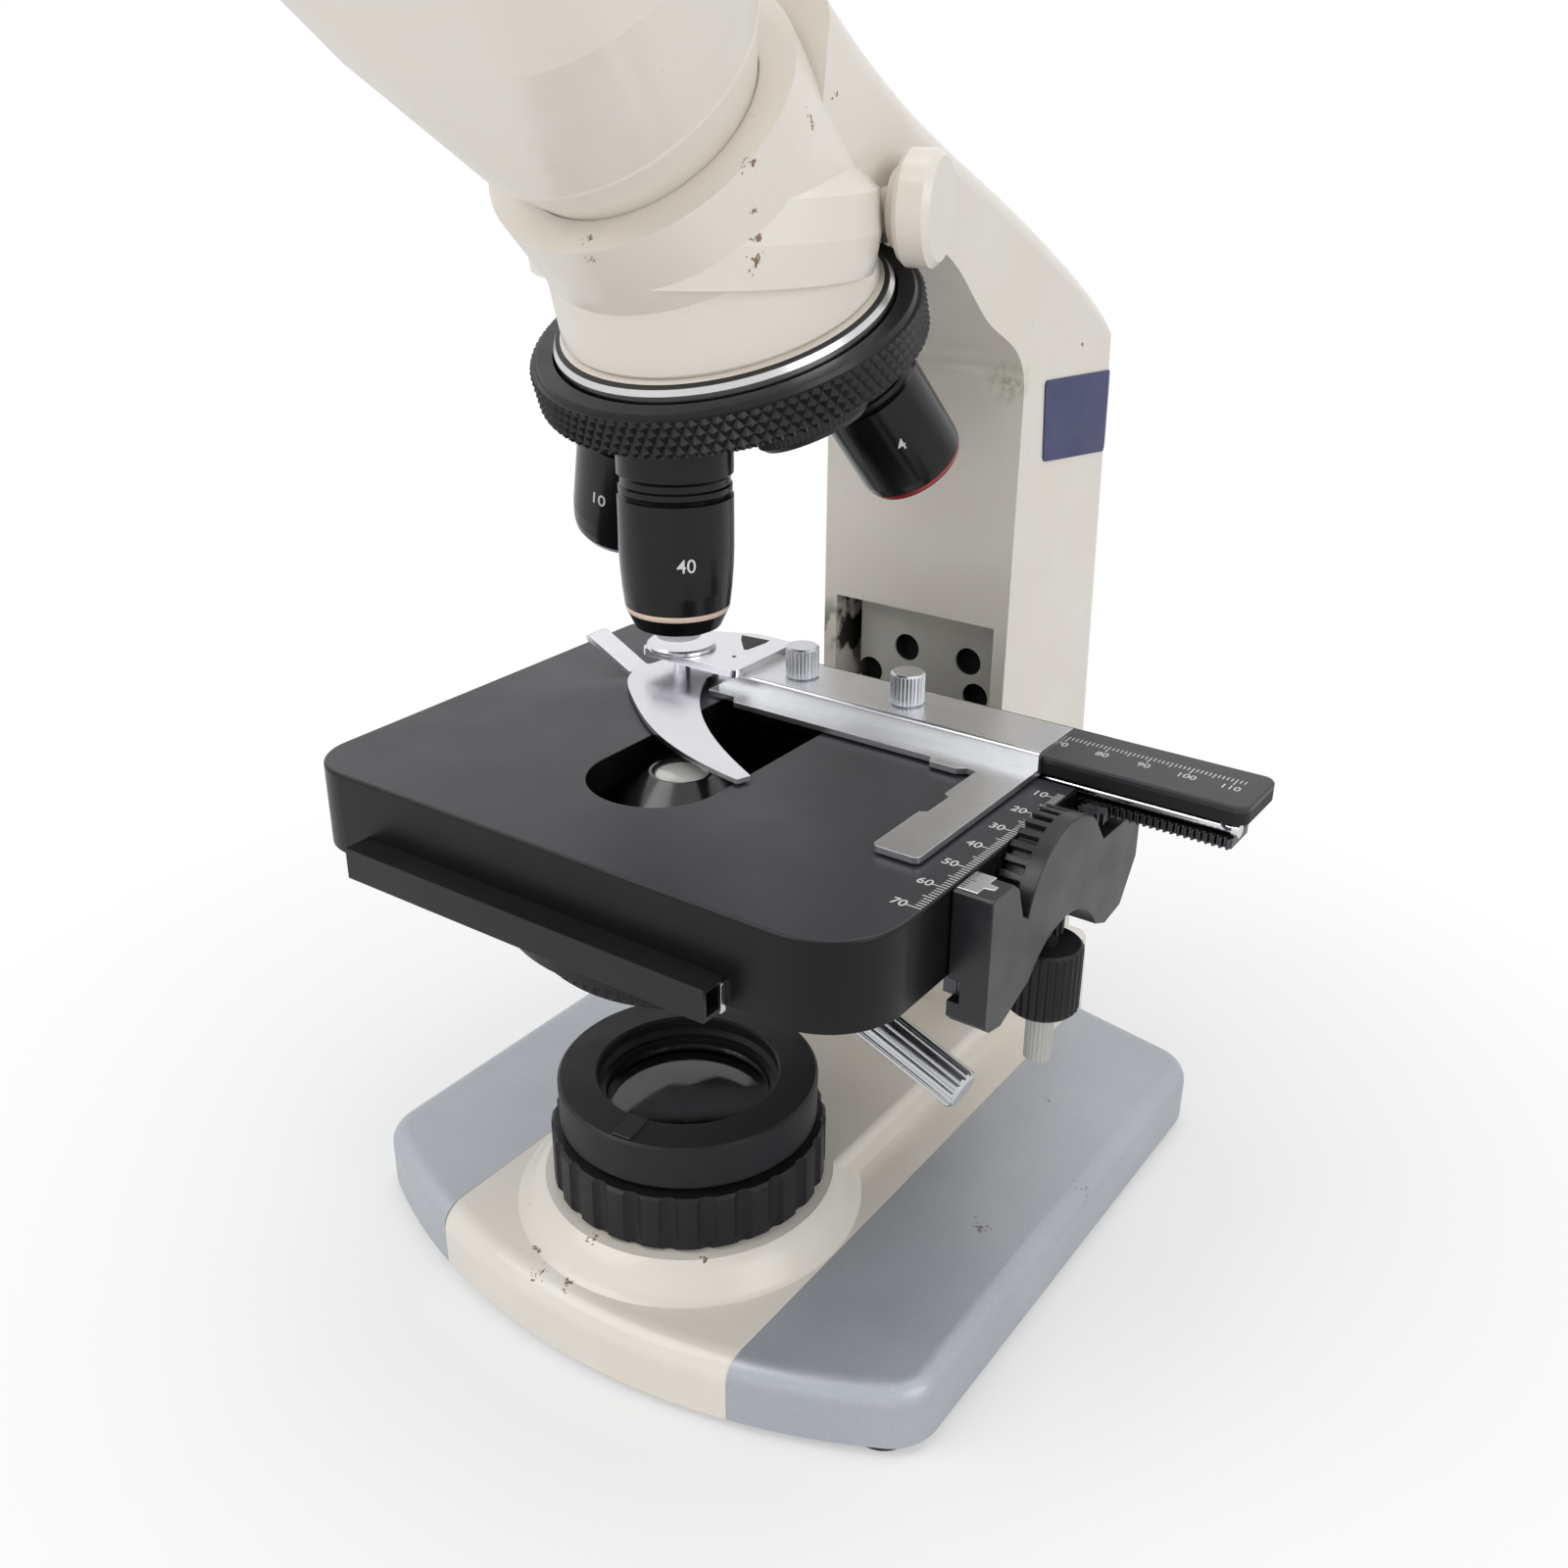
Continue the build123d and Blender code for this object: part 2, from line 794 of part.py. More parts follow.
with BuildPart() as rocker_switch:
    with BuildSketch(Plane.YZ.offset(-switch_half_width + 2.3)):
        with BuildLine():
            Polyline(
                (switch_back - 3.0, switch_z - rocker_half_height),
                (switch_back + 1.9, switch_z - rocker_half_height),
                (switch_back + 0.4, switch_z),
                (switch_back + 1.9, switch_z + rocker_half_height),
                (switch_back - 3.0, switch_z + rocker_half_height),
                (switch_back - 6.0, switch_z),
                close=True,
            )
        make_face()
    extrude(amount=2 * switch_half_width - 4.6)
    rod(rocker_pin_frame, rocker_pin_radius, -rocker_pin_half, rocker_pin_half)

save(rocker_switch.part, "rocker_switch")

# Dimmer thumb wheel behind the left wing
dimmer_frame = Plane((-base_half_width + dimmer_radius - dimmer_proud, dimmer_y, 0))
with BuildPart() as dimmer_wheel:
    rod(dimmer_frame, dimmer_radius, dimmer_low, dimmer_low + dimmer_height)
    grooves(dimmer_frame, 36, dimmer_radius + 0.3, 0.7, dimmer_low - 1, dimmer_low + dimmer_height + 1)
    rod(dimmer_frame, 2.5, foot_height, dimmer_low + dimmer_height + 1.5)

save(dimmer_wheel.part, "dimmer_wheel")

# Field lens: housing, lens and the turning diaphragm ring
with BuildPart() as collector_housing:
    turn(
        Plane.XY,
        [
            (collector_radius - 3, hollow_top - 2),
            (collector_radius, hollow_top - 2),
            (collector_radius, field_ring_top + 0.4),
            (field_radius - 1.5, field_ring_top + 0.4),
            (field_radius, field_ring_top + 2.0),
            (field_radius, field_top - 3.4),
            (field_radius - 2.6, field_top),
            (field_radius - 6.4, field_top),
            (field_lens_radius + 1.6, field_top - 4.6),
            (field_lens_radius + 0.4, field_top - 5.0),
            (field_lens_radius + 0.4, field_top - 9.4),
            (field_lens_radius - 1.4, field_top - 9.4),
            (field_lens_radius - 1.4, field_top - 14),
            (collector_radius - 3, field_top - 18),
        ],
    )

save(collector_housing.part, "collector_housing")

with BuildPart() as field_lens:
    lens(Plane.XY, field_lens_radius, field_top - 9.0, field_top - 6.6, 2.2)

save(field_lens.part, "field_lens")

with BuildPart() as field_diaphragm_ring:
    turn(
        Plane.XY,
        [
            (collector_radius + running_gap, field_ring_bottom),
            (field_ring_radius - 0.8, field_ring_bottom),
            (field_ring_radius, field_ring_bottom + 0.8),
            (field_ring_radius, field_ring_top - 0.8),
            (field_ring_radius - 0.8, field_ring_top),
            (collector_radius + running_gap, field_ring_top),
        ],
    )
    grooves(Plane.XY, field_ribs, field_ring_radius + 1.6, 2.9, field_ring_bottom - 1, field_ring_top + 1)

save(field_diaphragm_ring.part, "field_diaphragm_ring")

# Clamp knob of the head on the right of the arm
with BuildPart() as head_clamp_knob:
    rod(clamp_frame, clamp_screw_radius, -13, 0.2)
    turn(
        clamp_frame,
        [
            (0, 0),
            (clamp_radius - 4, 0),
            (clamp_radius - 3, 1.4),
            (clamp_radius - 1, 2.2),
            (clamp_radius, 3.4),
            (clamp_radius, clamp_width - 1.4),
            (clamp_radius - 1.4, clamp_width),
            (0, clamp_width),
        ],
    )

save(head_clamp_knob.part, "head_clamp_knob")

# Focus drive: fixed T rail, sliding block with window plate, rack, coaxial knobs
slide_back = slide_front + slide_thickness
with BuildPart() as focus_guide:
    block((-18, focus_axis_y + 6, guide_bottom), (18, channel_back, channel_top - 2))
    block((-guide_neck, slide_back - 5, guide_bottom), (guide_neck, focus_axis_y + 7, channel_top - 2))
    block(
        (-guide_half_width, slide_back - 8.5, guide_bottom),
        (guide_half_width, slide_back - 4, channel_top - 2),
    )

save(focus_guide.part, "focus_guide")

with BuildPart() as focus_slide:
    block(
        (-slide_half_width, slide_front, slide_bottom),
        (slide_half_width, slide_back, slide_bottom + slide_height),
    )
    block(
        (-guide_neck - slide_gap, slide_back - 5, slide_bottom - 1),
        (guide_neck + slide_gap, slide_back + 1, slide_bottom + slide_height + 1),
        Mode.SUBTRACT,
    )
    block(
        (-guide_half_width - slide_gap, slide_back - 8.8, slide_bottom - 1),
        (guide_half_width + slide_gap, slide_back - 3.7, slide_bottom + slide_height + 1),
        Mode.SUBTRACT,
    )
    for x, z in ((-6.5, 135.5), (13.5, 135.5), (-18.5, 126), (16.3, 125.5)):
        hole = Plane(origin=(x, slide_front, z), x_dir=(1, 0, 0), z_dir=(0, 1, 0))
        rod(hole, 4.0, -1, 3.6, Mode.SUBTRACT)

save(focus_slide.part, "focus_slide")

with BuildPart() as focus_rack:
    pitch = pi * focus_module
    rack_plane = Plane(
        origin=(focus_rack_x, slide_back + focus_rack_depth, focus_axis_z - focus_rack_pitches_below * pitch),
        x_dir=(0, 0, 1),
        z_dir=(1, 0, 0),
    )
    with BuildSketch(rack_plane):
        with BuildLine():
            Polyline(*rack_outline(focus_rack_pitches * pitch, focus_module, focus_rack_depth), close=True)
        make_face()
    extrude(amount=focus_rack_width)

save(focus_rack.part, "focus_rack")

with BuildPart() as coarse_knob:
    knob_start = -column_half_width - knob_gap
    rod(focus_frame, focus_shaft_radius, knob_start - coarse_width, focus_rack_x + focus_rack_width + 3)
    turn(
        focus_frame,
        [
            (0, knob_start - coarse_width),
            (coarse_radius - 1.5, knob_start - coarse_width),
            (coarse_radius, knob_start - coarse_width + 1.5),
            (coarse_radius, knob_start - 2.5),
            (coarse_radius - 2.5, knob_start),
            (0, knob_start),
        ],
    )
    grooves(focus_frame, 48, coarse_radius + 0.5, 1.2, knob_start - coarse_width - 1, knob_start - 3)
    with BuildSketch(focus_frame.offset(focus_rack_x + 0.5)):
        with BuildLine():
            Polyline(*gear_outline(focus_teeth, focus_module), close=True)
        make_face()
    extrude(amount=focus_rack_width - 1)
    rod(focus_frame, fine_shaft_radius + running_gap, -80, 40, Mode.SUBTRACT)

save(coarse_knob.part, "coarse_knob")

with BuildPart() as fine_knob:
    fine_start = knob_start - coarse_width - knob_gap
    rod(focus_frame, fine_shaft_radius, fine_start - 1, focus_rack_x + focus_rack_width + 2)
    turn(
        focus_frame,
        [
            (0, fine_start - fine_width),
            (fine_radius - 1.5, fine_start - fine_width),
            (fine_radius, fine_start - fine_width + 1.5),
            (fine_radius, fine_start - 1),
            (fine_radius - 1, fine_start),
            (0, fine_start),
        ],
    )
    grooves(focus_frame, 36, fine_radius + 0.4, 0.9, fine_start - fine_width - 1, fine_start - 2)

save(fine_knob.part, "fine_knob")

# Carrier of stage and condenser, screwed to the focus slide
with BuildPart() as stage_carrier:
    rod(Plane.XY, carrier_radius, carrier_bottom, carrier_top)
    block((-carrier_radius, 0, carrier_bottom), (carrier_radius, carrier_rear, carrier_top))
    block((-carrier_half_width, 0, carrier_bottom), (carrier_half_width, slide_front, carrier_top))
    block((30, 6, carrier_top - 6.4), (y_rack_x - y_rack_depth, 33, carrier_top))
    for side in (-1, 1):
        middle = side * guide_rail_x
        block(
            (middle - guide_rail_width / 2, -guide_rail_half, carrier_top - 1),
            (middle + guide_rail_width / 2, guide_rail_half, stage_top - stage_skin - slide_gap),
        )
    rod(Plane.XY, condenser_body_radius + running_gap, carrier_bottom - 1, stage_top, Mode.SUBTRACT)

save(stage_carrier.part, "stage_carrier")

with BuildPart() as y_rack:
    y_pitch = pi * gear_module
    rack_plane = Plane(
        origin=(y_rack_x, drive_y - 22 * y_pitch, y_gear_bottom - 0.4),
        x_dir=(0, 1, 0),
        z_dir=(0, 0, 1),
    )
    with BuildSketch(rack_plane):
        with BuildLine():
            Polyline(*rack_outline(33 * y_pitch, gear_module, y_rack_depth), close=True)
        make_face()
    extrude(amount=4.4)

save(y_rack.part, "y_rack")

# Stage plate: hollow slab with a long aperture and a groove for the slide rack
with BuildPart() as stage_plate:
    with BuildSketch(Plane.XY.offset(stage_top - stage_thickness)) as outline:
        with BuildLine():
            Polyline(
                (-stage_left, -stage_front),
                (stage_right, -stage_front),
                (stage_right, stage_back),
                (-stage_left, stage_back),
                close=True,
            )
        make_face()
        corners = outline.vertices()
        fillet(corners.group_by(Axis.Y)[0].sort_by(Axis.X)[-1:], stage_front_radius)
        corners = outline.vertices()
        fillet([v for v in corners if v.X < -stage_left + 0.1 and v.Y < 0], stage_left_radius)
        corners = outline.vertices()
        fillet(corners.group_by(Axis.Y)[-1], stage_back_radius)
    extrude(amount=stage_thickness)
    fillet(stage_plate.faces().sort_by(Axis.Z)[-1].edges(), stage_edge_radius)
    block(
        (-stage_left + stage_wall, -stage_front + stage_wall, stage_top - stage_thickness - 1),
        (stage_right - stage_wall, stage_back - stage_wall, stage_top - stage_skin),
        Mode.SUBTRACT,
    )
    for side in (-1, 1):
        inner = guide_rail_x + guide_rail_width / 2 + slide_gap
        low_x = min(side * inner, side * (inner + 4))
        block(
            (low_x, -stage_front + stage_wall, stage_top - stage_skin - 8),
            (low_x + 4, stage_back - stage_wall, stage_top - stage_skin),
        )
    with BuildSketch(Plane.XY.offset(stage_top - stage_skin - 1)):
        with Locations((aperture_centre_x, aperture_centre_y)):
            Circle(aperture_radius)
        with Locations((aperture_centre_x, (aperture_centre_y + aperture_back) / 2)):
            Rectangle(2 * aperture_radius, aperture_back - aperture_centre_y)
    extrude(amount=stage_skin + 2, mode=Mode.SUBTRACT)
    block(
        (channel_start, channel_front_y, stage_top - channel_depth),
        (stage_right + 1, channel_rear_y, stage_top + 1),
        Mode.SUBTRACT,
    )

save(stage_plate.part, "stage_plate")

with BuildPart() as front_rail:
    block(
        (-rail_left, -stage_front - rail_size, stage_top - stage_thickness - 1),
        (rail_right, -stage_front, stage_top - stage_thickness - 1 + rail_size + 1),
    )
    block(
        (-rail_left - 1, -stage_front - rail_size + rail_wall, stage_top - stage_thickness - 1 + rail_wall),
        (rail_right + 1, -stage_front - rail_wall, stage_top - stage_thickness + rail_size - rail_wall),
        Mode.SUBTRACT,
    )

save(front_rail.part, "front_rail")

# Bracket of the stage drives: a side plate with a round hump over the gears
with BuildPart() as drive_bracket:
    with BuildSketch(Plane.YZ.offset(bracket_inner)) as side_view:
        with BuildLine():
            Polyline(
                (-17.0, 141.6),
                (-16.4, 142.2),
                (-8.6, 142.2),
                (-6.0, 140.0),
                (-3.4, 132.6),
                (-0.6, 130.8),
            )
            ThreePointArc((-0.6, 130.8), (2.0, 137.0), (7.0, 142.2))
            ThreePointArc((7.0, 142.2), (hump_y, hump_z + hump_radius), (29.0, 142.0))
            Polyline(
                (29.0, 142.0),
                (34.6, 134.6),
                (52.0, 134.6),
                (52.0, 142.9),
                (55.0, 142.9),
                (55.0, 122.0),
                (48.3, 112.0),
                (40.3, 110.8),
                (35.0, 113.0),
            )
            ThreePointArc((35.0, 113.0), (17.8, 122.7), (2.0, 114.8))
            Polyline(
                (2.0, 114.8),
                (-10.0, 110.0),
                (-15.0, 111.0),
                (-17.0, 113.0),
                (-17.0, 141.6),
            )
        make_face()
    extrude(amount=bracket_outer - bracket_inner)
    # Ribs over the inner half of the hump
    with BuildSketch(Plane.YZ.offset(bracket_inner - 1)):
        for rib in range(11):
            angle = radians(155 - 11 * rib)
            spot = (hump_y + hump_radius * cos(angle), hump_z + hump_radius * sin(angle))
            with Locations(Location(spot, degrees(angle))):
                Rectangle(3.2, 1.9)
    extrude(amount=6.2, mode=Mode.SUBTRACT)
    # Cavity of the gears and bore of the shafts
    block(
        (drive_x - 3.6, drive_y - 3.8, gear_bottom - 0.4),
        (drive_x + 3.6, 60, gear_bottom + gear_height + 0.4),
        Mode.SUBTRACT,
    )
    drive_frame = Plane((drive_x, drive_y, 0))
    rod(drive_frame, drive_shaft_radius + running_gap, 100, gear_bottom, Mode.SUBTRACT)
    # Ways of the slide ruler's rack and of the fixed rack under the stage
    block(
        (bracket_inner - 1, 35, gear_bottom - 0.4),
        (bracket_outer + 1, rack_back + 0.4, 150),
        Mode.SUBTRACT,
    )
    block(
        (bracket_inner - 1, -20, y_gear_bottom - 0.8),
        (y_rack_x + 1.2, 60, y_gear_bottom + 4.4),
        Mode.SUBTRACT,
    )
    for step in (1, 2, 3):
        pin = Plane((drive_x, drive_y + step * gear_module * gear_teeth, 0))
        rod(pin, idler_pin_radius, gear_bottom - 3, gear_bottom + gear_height + 0.2)

save(drive_bracket.part, "drive_bracket")

# Coaxial drives: outer tube with the front-to-back gear, inner shaft with the side-to-side gear
def ribbed_drum(frame, radius, low, high, ribs, rib_radius, edge):
    """Drum with chamfered ends and equal grooves along its side."""
    turn(
        frame,
        [
            (0, low),
            (radius - edge, low),
            (radius, low + edge),
            (radius, high - edge),
            (radius - edge, high),
            (0, high),
        ],
    )
    grooves(frame, ribs, radius + rib_radius * 0.4, rib_radius, low - 1, high + 1)


def gear(frame, teeth, module, phase, height):
    """Spur gear on a frame's plane, turned by a phase in degrees."""
    turned = frame.rotated((0, 0, phase))
    with BuildSketch(turned) as section:
        with BuildLine():
            Polyline(*gear_outline(teeth, module), close=True)
        make_face()
    extrude(section.sketch, amount=height)


with BuildPart() as y_knob:
    ribbed_drum(drive_frame, y_knob_radius, y_knob_bottom, y_knob_bottom + y_knob_height, 28, 0.8, 0.8)
    rod(drive_frame, drive_shaft_radius, y_knob_bottom, gear_bottom - 1.0)
    gear(Plane((drive_x, drive_y, y_gear_bottom)), gear_teeth, gear_module, 0, 3.6)
    rod(drive_frame, x_shaft_radius + running_gap, y_knob_bottom - 1, gear_bottom, Mode.SUBTRACT)

save(y_knob.part, "y_knob")

with BuildPart() as x_knob:
    ribbed_drum(drive_frame, x_knob_radius, x_knob_bottom, y_knob_bottom - 0.5, 20, 0.35, 0.6)
    rod(drive_frame, x_shaft_radius, x_knob_bottom + 1, gear_bottom + 1)
    gear(Plane((drive_x, drive_y, gear_bottom)), gear_teeth, gear_module, 0, gear_height)

save(x_knob.part, "x_knob")

for step, name in ((1, "x_idler_front"), (2, "x_idler_middle"), (3, "x_idler_rear")):
    spindle = Plane((drive_x, drive_y + step * gear_module * gear_teeth, gear_bottom))
    with BuildPart() as idler:
        gear(spindle, gear_teeth, gear_module, 15 * (step % 2), gear_height)
        rod(spindle, idler_pin_radius + running_gap, -1, gear_height + 1, Mode.SUBTRACT)
    save(idler.part, name)

# Side-to-side carriage: ruler, rack, polished rod
with BuildPart() as x_ruler:
    with BuildSketch(Plane.XY.offset(ruler_bottom)) as outline:
        with Locations(((ruler_left + ruler_right) / 2, (ruler_front + ruler_back) / 2)):
            Rectangle(ruler_right - ruler_left, ruler_back - ruler_front)
        fillet(outline.vertices(), ruler_corner)
    extrude(amount=ruler_thickness)
    chamfer(x_ruler.faces().sort_by(Axis.Z)[-1].edges(), 0.4)
    for step in (0, 1):
        screw = Plane((screw_first_x + step * screw_pitch, screw_y, 0))
        rod(screw, screw_shank_radius + thread_gap, ruler_bottom + 0.4, 150, Mode.SUBTRACT)

save(x_ruler.part, "x_ruler")

with BuildPart() as x_rack:
    x_pitch = pi * gear_module
    rack_pitch_y = drive_y + 7 * gear_module * gear_teeth / 2
    left_pitches = int((drive_x - rack_left) / x_pitch)
    rack_start = drive_x - (left_pitches + 0.5) * x_pitch
    rack_pitches = int((rack_right - rack_start) / x_pitch)
    with BuildSketch(Plane((rack_start, rack_pitch_y, rack_bottom))):
        with BuildLine():
            Polyline(*rack_outline(rack_pitches * x_pitch, gear_module, rack_back - rack_pitch_y), close=True)
        make_face()
    extrude(amount=rack_height)
    block((rack_start, web_front, rack_bottom + rack_height), (rack_right - 2, web_back, ruler_bottom))

save(x_rack.part, "x_rack")

with BuildPart() as guide_rod:
    rod_frame = Plane(origin=(0, rod_y, rod_z), x_dir=(0, 1, 0), z_dir=(1, 0, 0))
    rod(rod_frame, rod_radius, rod_left, rod_right)
    rod(rod_frame, rod_radius + 0.5, rod_right, rod_right + 1.6)

save(guide_rod.part, "guide_rod")

# Slide holder: stepped plate with a fixed arm, held by two thumb screws
with BuildPart() as slide_holder:
    ruler_top = ruler_bottom + ruler_thickness
    with BuildSketch(Plane.XY.offset(holder_low)) as plan:
        with BuildLine():
            Polyline(
                (holder_left, ruler_front - slide_gap),
                (holder_left, holder_front + 3),
                (holder_left + 8, holder_front + 3),
                (holder_left + 10, holder_front),
                (48.0, holder_front),
                (49.0, 29.0),
                (56.0, 29.0),
                (58.0, 30.6),
                (holder_arm_left, 30.0),
                (holder_arm_left, 16.0),
                (holder_arm_left + 1.6, 15.0),
                (holder_arm_left + 1.6, 6.0),
                (holder_arm_left, 5.0),
                (holder_arm_left, holder_arm_front),
                (holder_right, holder_arm_front),
                (holder_right, ruler_front - slide_gap),
                close=True,
            )
        make_face()
        nose = plan.vertices().group_by(Axis.Y)[0]
        fillet(nose, 1.5)
    extrude(amount=holder_thickness)
    block(
        (holder_left, ruler_front - slide_gap - holder_thickness, holder_low),
        (holder_right, ruler_front - slide_gap, ruler_top + holder_thickness),
    )
    block(
        (holder_left, ruler_front - slide_gap - holder_thickness, ruler_top),
        (holder_right, holder_back, ruler_top + holder_thickness),
    )
    bend = slide_holder.edges().filter_by(Axis.X).sort_by(Axis.Z)[-2:].sort_by(Axis.Y)[0]
    fillet(bend, 1.0)
    for step in (0, 1):
        screw = Plane((screw_first_x + step * screw_pitch, screw_y, 0))
        rod(screw, screw_shank_radius + 0.3, 140, 160, Mode.SUBTRACT)

save(slide_holder.part, "slide_holder")

with BuildPart() as thumb_screws:
    for step in (0, 1):
        screw = Plane((screw_first_x + step * screw_pitch, screw_y, 0))
        seat = ruler_top + holder_thickness
        ribbed_drum(screw, screw_head_radius, seat, seat + screw_head_height, 28, 0.35, 0.5)
        rod(screw, screw_shank_radius, ruler_bottom + 0.6, seat + 1)

save(thumb_screws.part, "thumb_screws")

# Sprung finger on its pivot under the lever plate
with BuildPart() as lever_plate:
    plate_low = ruler_top + holder_thickness
    with BuildSketch(Plane.XY.offset(plate_low)) as plan:
        with BuildLine():
            Polyline(
                (lever_plate_left, lever_plate_front),
                (lever_plate_right, lever_plate_front),
                (lever_plate_right, 61.0),
                (-22.0, 61.0),
                (lever_plate_left, 52.0),
                close=True,
            )
        make_face()
        fillet(plan.vertices(), 2.0)
    extrude(amount=lever_plate_thickness)
    pivot = Plane((finger_pivot_x, finger_pivot_y, 0))
    rod(pivot, 2.2 + running_gap, plate_low - 1, plate_low + 5, Mode.SUBTRACT)

save(lever_plate.part, "lever_plate")

with BuildPart() as finger_pivot:
    finger_low = holder_low
    rod(pivot, 2.2, finger_low - slide_gap, plate_low + lever_plate_thickness + slide_gap)
    turn(
        pivot,
        [
            (0, plate_low + lever_plate_thickness + 0.1),
            (disc_radius, plate_low + lever_plate_thickness + 0.1),
            (disc_radius, plate_low + lever_plate_thickness + 0.9),
            (disc_radius - 0.6, plate_low + lever_plate_thickness + disc_height),
            (0, plate_low + lever_plate_thickness + disc_height),
        ],
    )

save(finger_pivot.part, "finger_pivot")

with BuildPart() as slide_finger:
    with BuildSketch(Plane.XY.offset(finger_low)) as plan:
        with Locations((finger_pivot_x, finger_pivot_y)):
            Circle(9.0)
        with BuildLine():
            Spline(
                (-42.0, 42.0),
                (-41.6, 31.0),
                (-33.1, 21.3),
                (-12.1, 5.8),
                (finger_tip_x, finger_tip_y),
            )
            Line((finger_tip_x, finger_tip_y), (finger_tip_x + 1.2, finger_tip_y + 3.4))
            Spline(
                (finger_tip_x + 1.2, finger_tip_y + 3.4),
                (9.6, 5.3),
                (-8.9, 19.6),
                (-19.0, 31.7),
                (-24.6, 42.0),
            )
            Line((-24.6, 42.0), (-42.0, 42.0))
        make_face()
    extrude(amount=finger_thickness)
    rod(pivot, 2.2 + running_gap, finger_low - 1, finger_low + 5, Mode.SUBTRACT)
    # Handle of the finger, bent upward beside the lever plate
    with BuildSketch(Plane.XZ.offset(-40.0)):
        with BuildLine():
            Polyline(
                (-40.0, finger_low),
                (-44.0, finger_low),
                (-57.5, finger_low + 6.5),
                (-58.0, finger_low + 8.0),
                (-56.8, finger_low + 8.2),
                (-43.6, finger_low + finger_thickness),
                (-40.0, finger_low + finger_thickness),
                close=True,
            )
        make_face()
    extrude(amount=7.0)

save(slide_finger.part, "slide_finger")

# Condenser: body with a conical top, top lens, knurled ring with its lever, iris ring
with BuildPart() as condenser_body:
    turn(
        Plane.XY,
        [
            (condenser_lens_radius + 0.05, condenser_top - 3),
            (condenser_lens_radius + 0.05, condenser_top - 0.4),
            (condenser_lens_radius + 0.6, condenser_top),
            (condenser_rim_radius, condenser_top),
            (condenser_cone_radius, condenser_top - 7.4),
            (condenser_cone_radius, condenser_top - 13.0),
            (condenser_body_radius, carrier_top + 1.4),
            (condenser_body_radius, ring_bottom - 0.6),
            (condenser_neck_radius, ring_bottom - 0.6),
            (condenser_neck_radius, condenser_bottom),
            (condenser_neck_radius - 4, condenser_bottom),
            (condenser_neck_radius - 4, condenser_top - 22),
            (condenser_lens_radius - 0.8, condenser_top - 6),
            (condenser_lens_radius - 0.8, condenser_top - 3),
        ],
    )

save(condenser_body.part, "condenser_body")

with BuildPart() as condenser_lens:
    lens(Plane.XY, condenser_lens_radius, condenser_top - 3, condenser_top - 0.9, 0.7)

save(condenser_lens.part, "condenser_lens")

with BuildPart() as condenser_ring:
    turn(
        Plane.XY,
        [
            (condenser_body_radius + running_gap, ring_bottom),
            (ring_radius - 1.2, ring_bottom),
            (ring_radius, ring_bottom + 1.2),
            (ring_radius, ring_bottom + ring_height - 1.2),
            (ring_radius - 1.2, ring_bottom + ring_height),
            (condenser_body_radius + running_gap, ring_bottom + ring_height),
        ],
    )
    grooves(Plane.XY, ring_ribs, ring_radius + 0.5, 1.0, ring_bottom - 1, ring_bottom + ring_height + 1)

save(condenser_ring.part, "condenser_ring")

drop = radians(handle_drop)
swing = radians(handle_turn)
handle_way = Vector(cos(swing) * cos(drop), sin(swing) * cos(drop), -sin(drop))
handle_frame = Plane(
    origin=(handle_root * cos(swing), handle_root * sin(swing), ring_bottom + ring_height / 2 - 1.0),
    x_dir=(-sin(swing), cos(swing), 0),
    z_dir=handle_way,
)
handle_length = (handle_end - handle_root) / cos(drop)
with BuildPart() as condenser_lever:
    turn(
        handle_frame,
        [
            (0, 0.4),
            (handle_radius_root, 0.4),
            (handle_radius_root, 5.0),
            (handle_radius - 0.8, 6.0),
            (handle_radius, 7.0),
            (handle_radius, handle_length - 1.0),
            (handle_radius - 1.0, handle_length),
            (0, handle_length),
        ],
    )
    grooves(handle_frame, handle_ribs, handle_radius + 0.2, 0.7, 7.5, handle_length + 1)

save(condenser_lever.part, "condenser_lever")

with BuildPart() as iris_ring:
    ring_top = ring_bottom - 1.0
    turn(
        Plane.XY,
        [
            (condenser_neck_radius + running_gap, ring_top - iris_height),
            (iris_radius, ring_top - iris_height),
            (iris_radius, ring_top),
            (condenser_neck_radius + running_gap, ring_top),
        ],
    )
    grooves(Plane.XY, 48, iris_radius + 0.4, 0.9, ring_top - iris_height - 1, ring_top + 1)

save(iris_ring.part, "iris_ring")

# Nosepiece: fixed chrome disc with the pivot, turning ring with five ports
with BuildPart() as nosepiece_base:
    turn(
        turret_frame,
        [
            (0, turret_floor + 0.4),
            (turret_inner_radius - 1.2, turret_floor + 0.4),
            (turret_inner_radius - 0.6, turret_floor + 1.4),
            (turret_inner_radius - 0.6, turret_height + 1.4),
            (turret_inner_radius - 1.6, turret_height + 2.8),
            (mount_radius - 1.6, mount_height - 0.1),
            (0, mount_height - 0.1),
        ],
    )
    rod(turret_frame, pivot_radius, -port_boss_height * 0.2, turret_floor + 1)
    rod(port_frame(0), optical_bore_radius - 1, -30, 2, Mode.SUBTRACT)

save(nosepiece_base.part, "nosepiece_base")

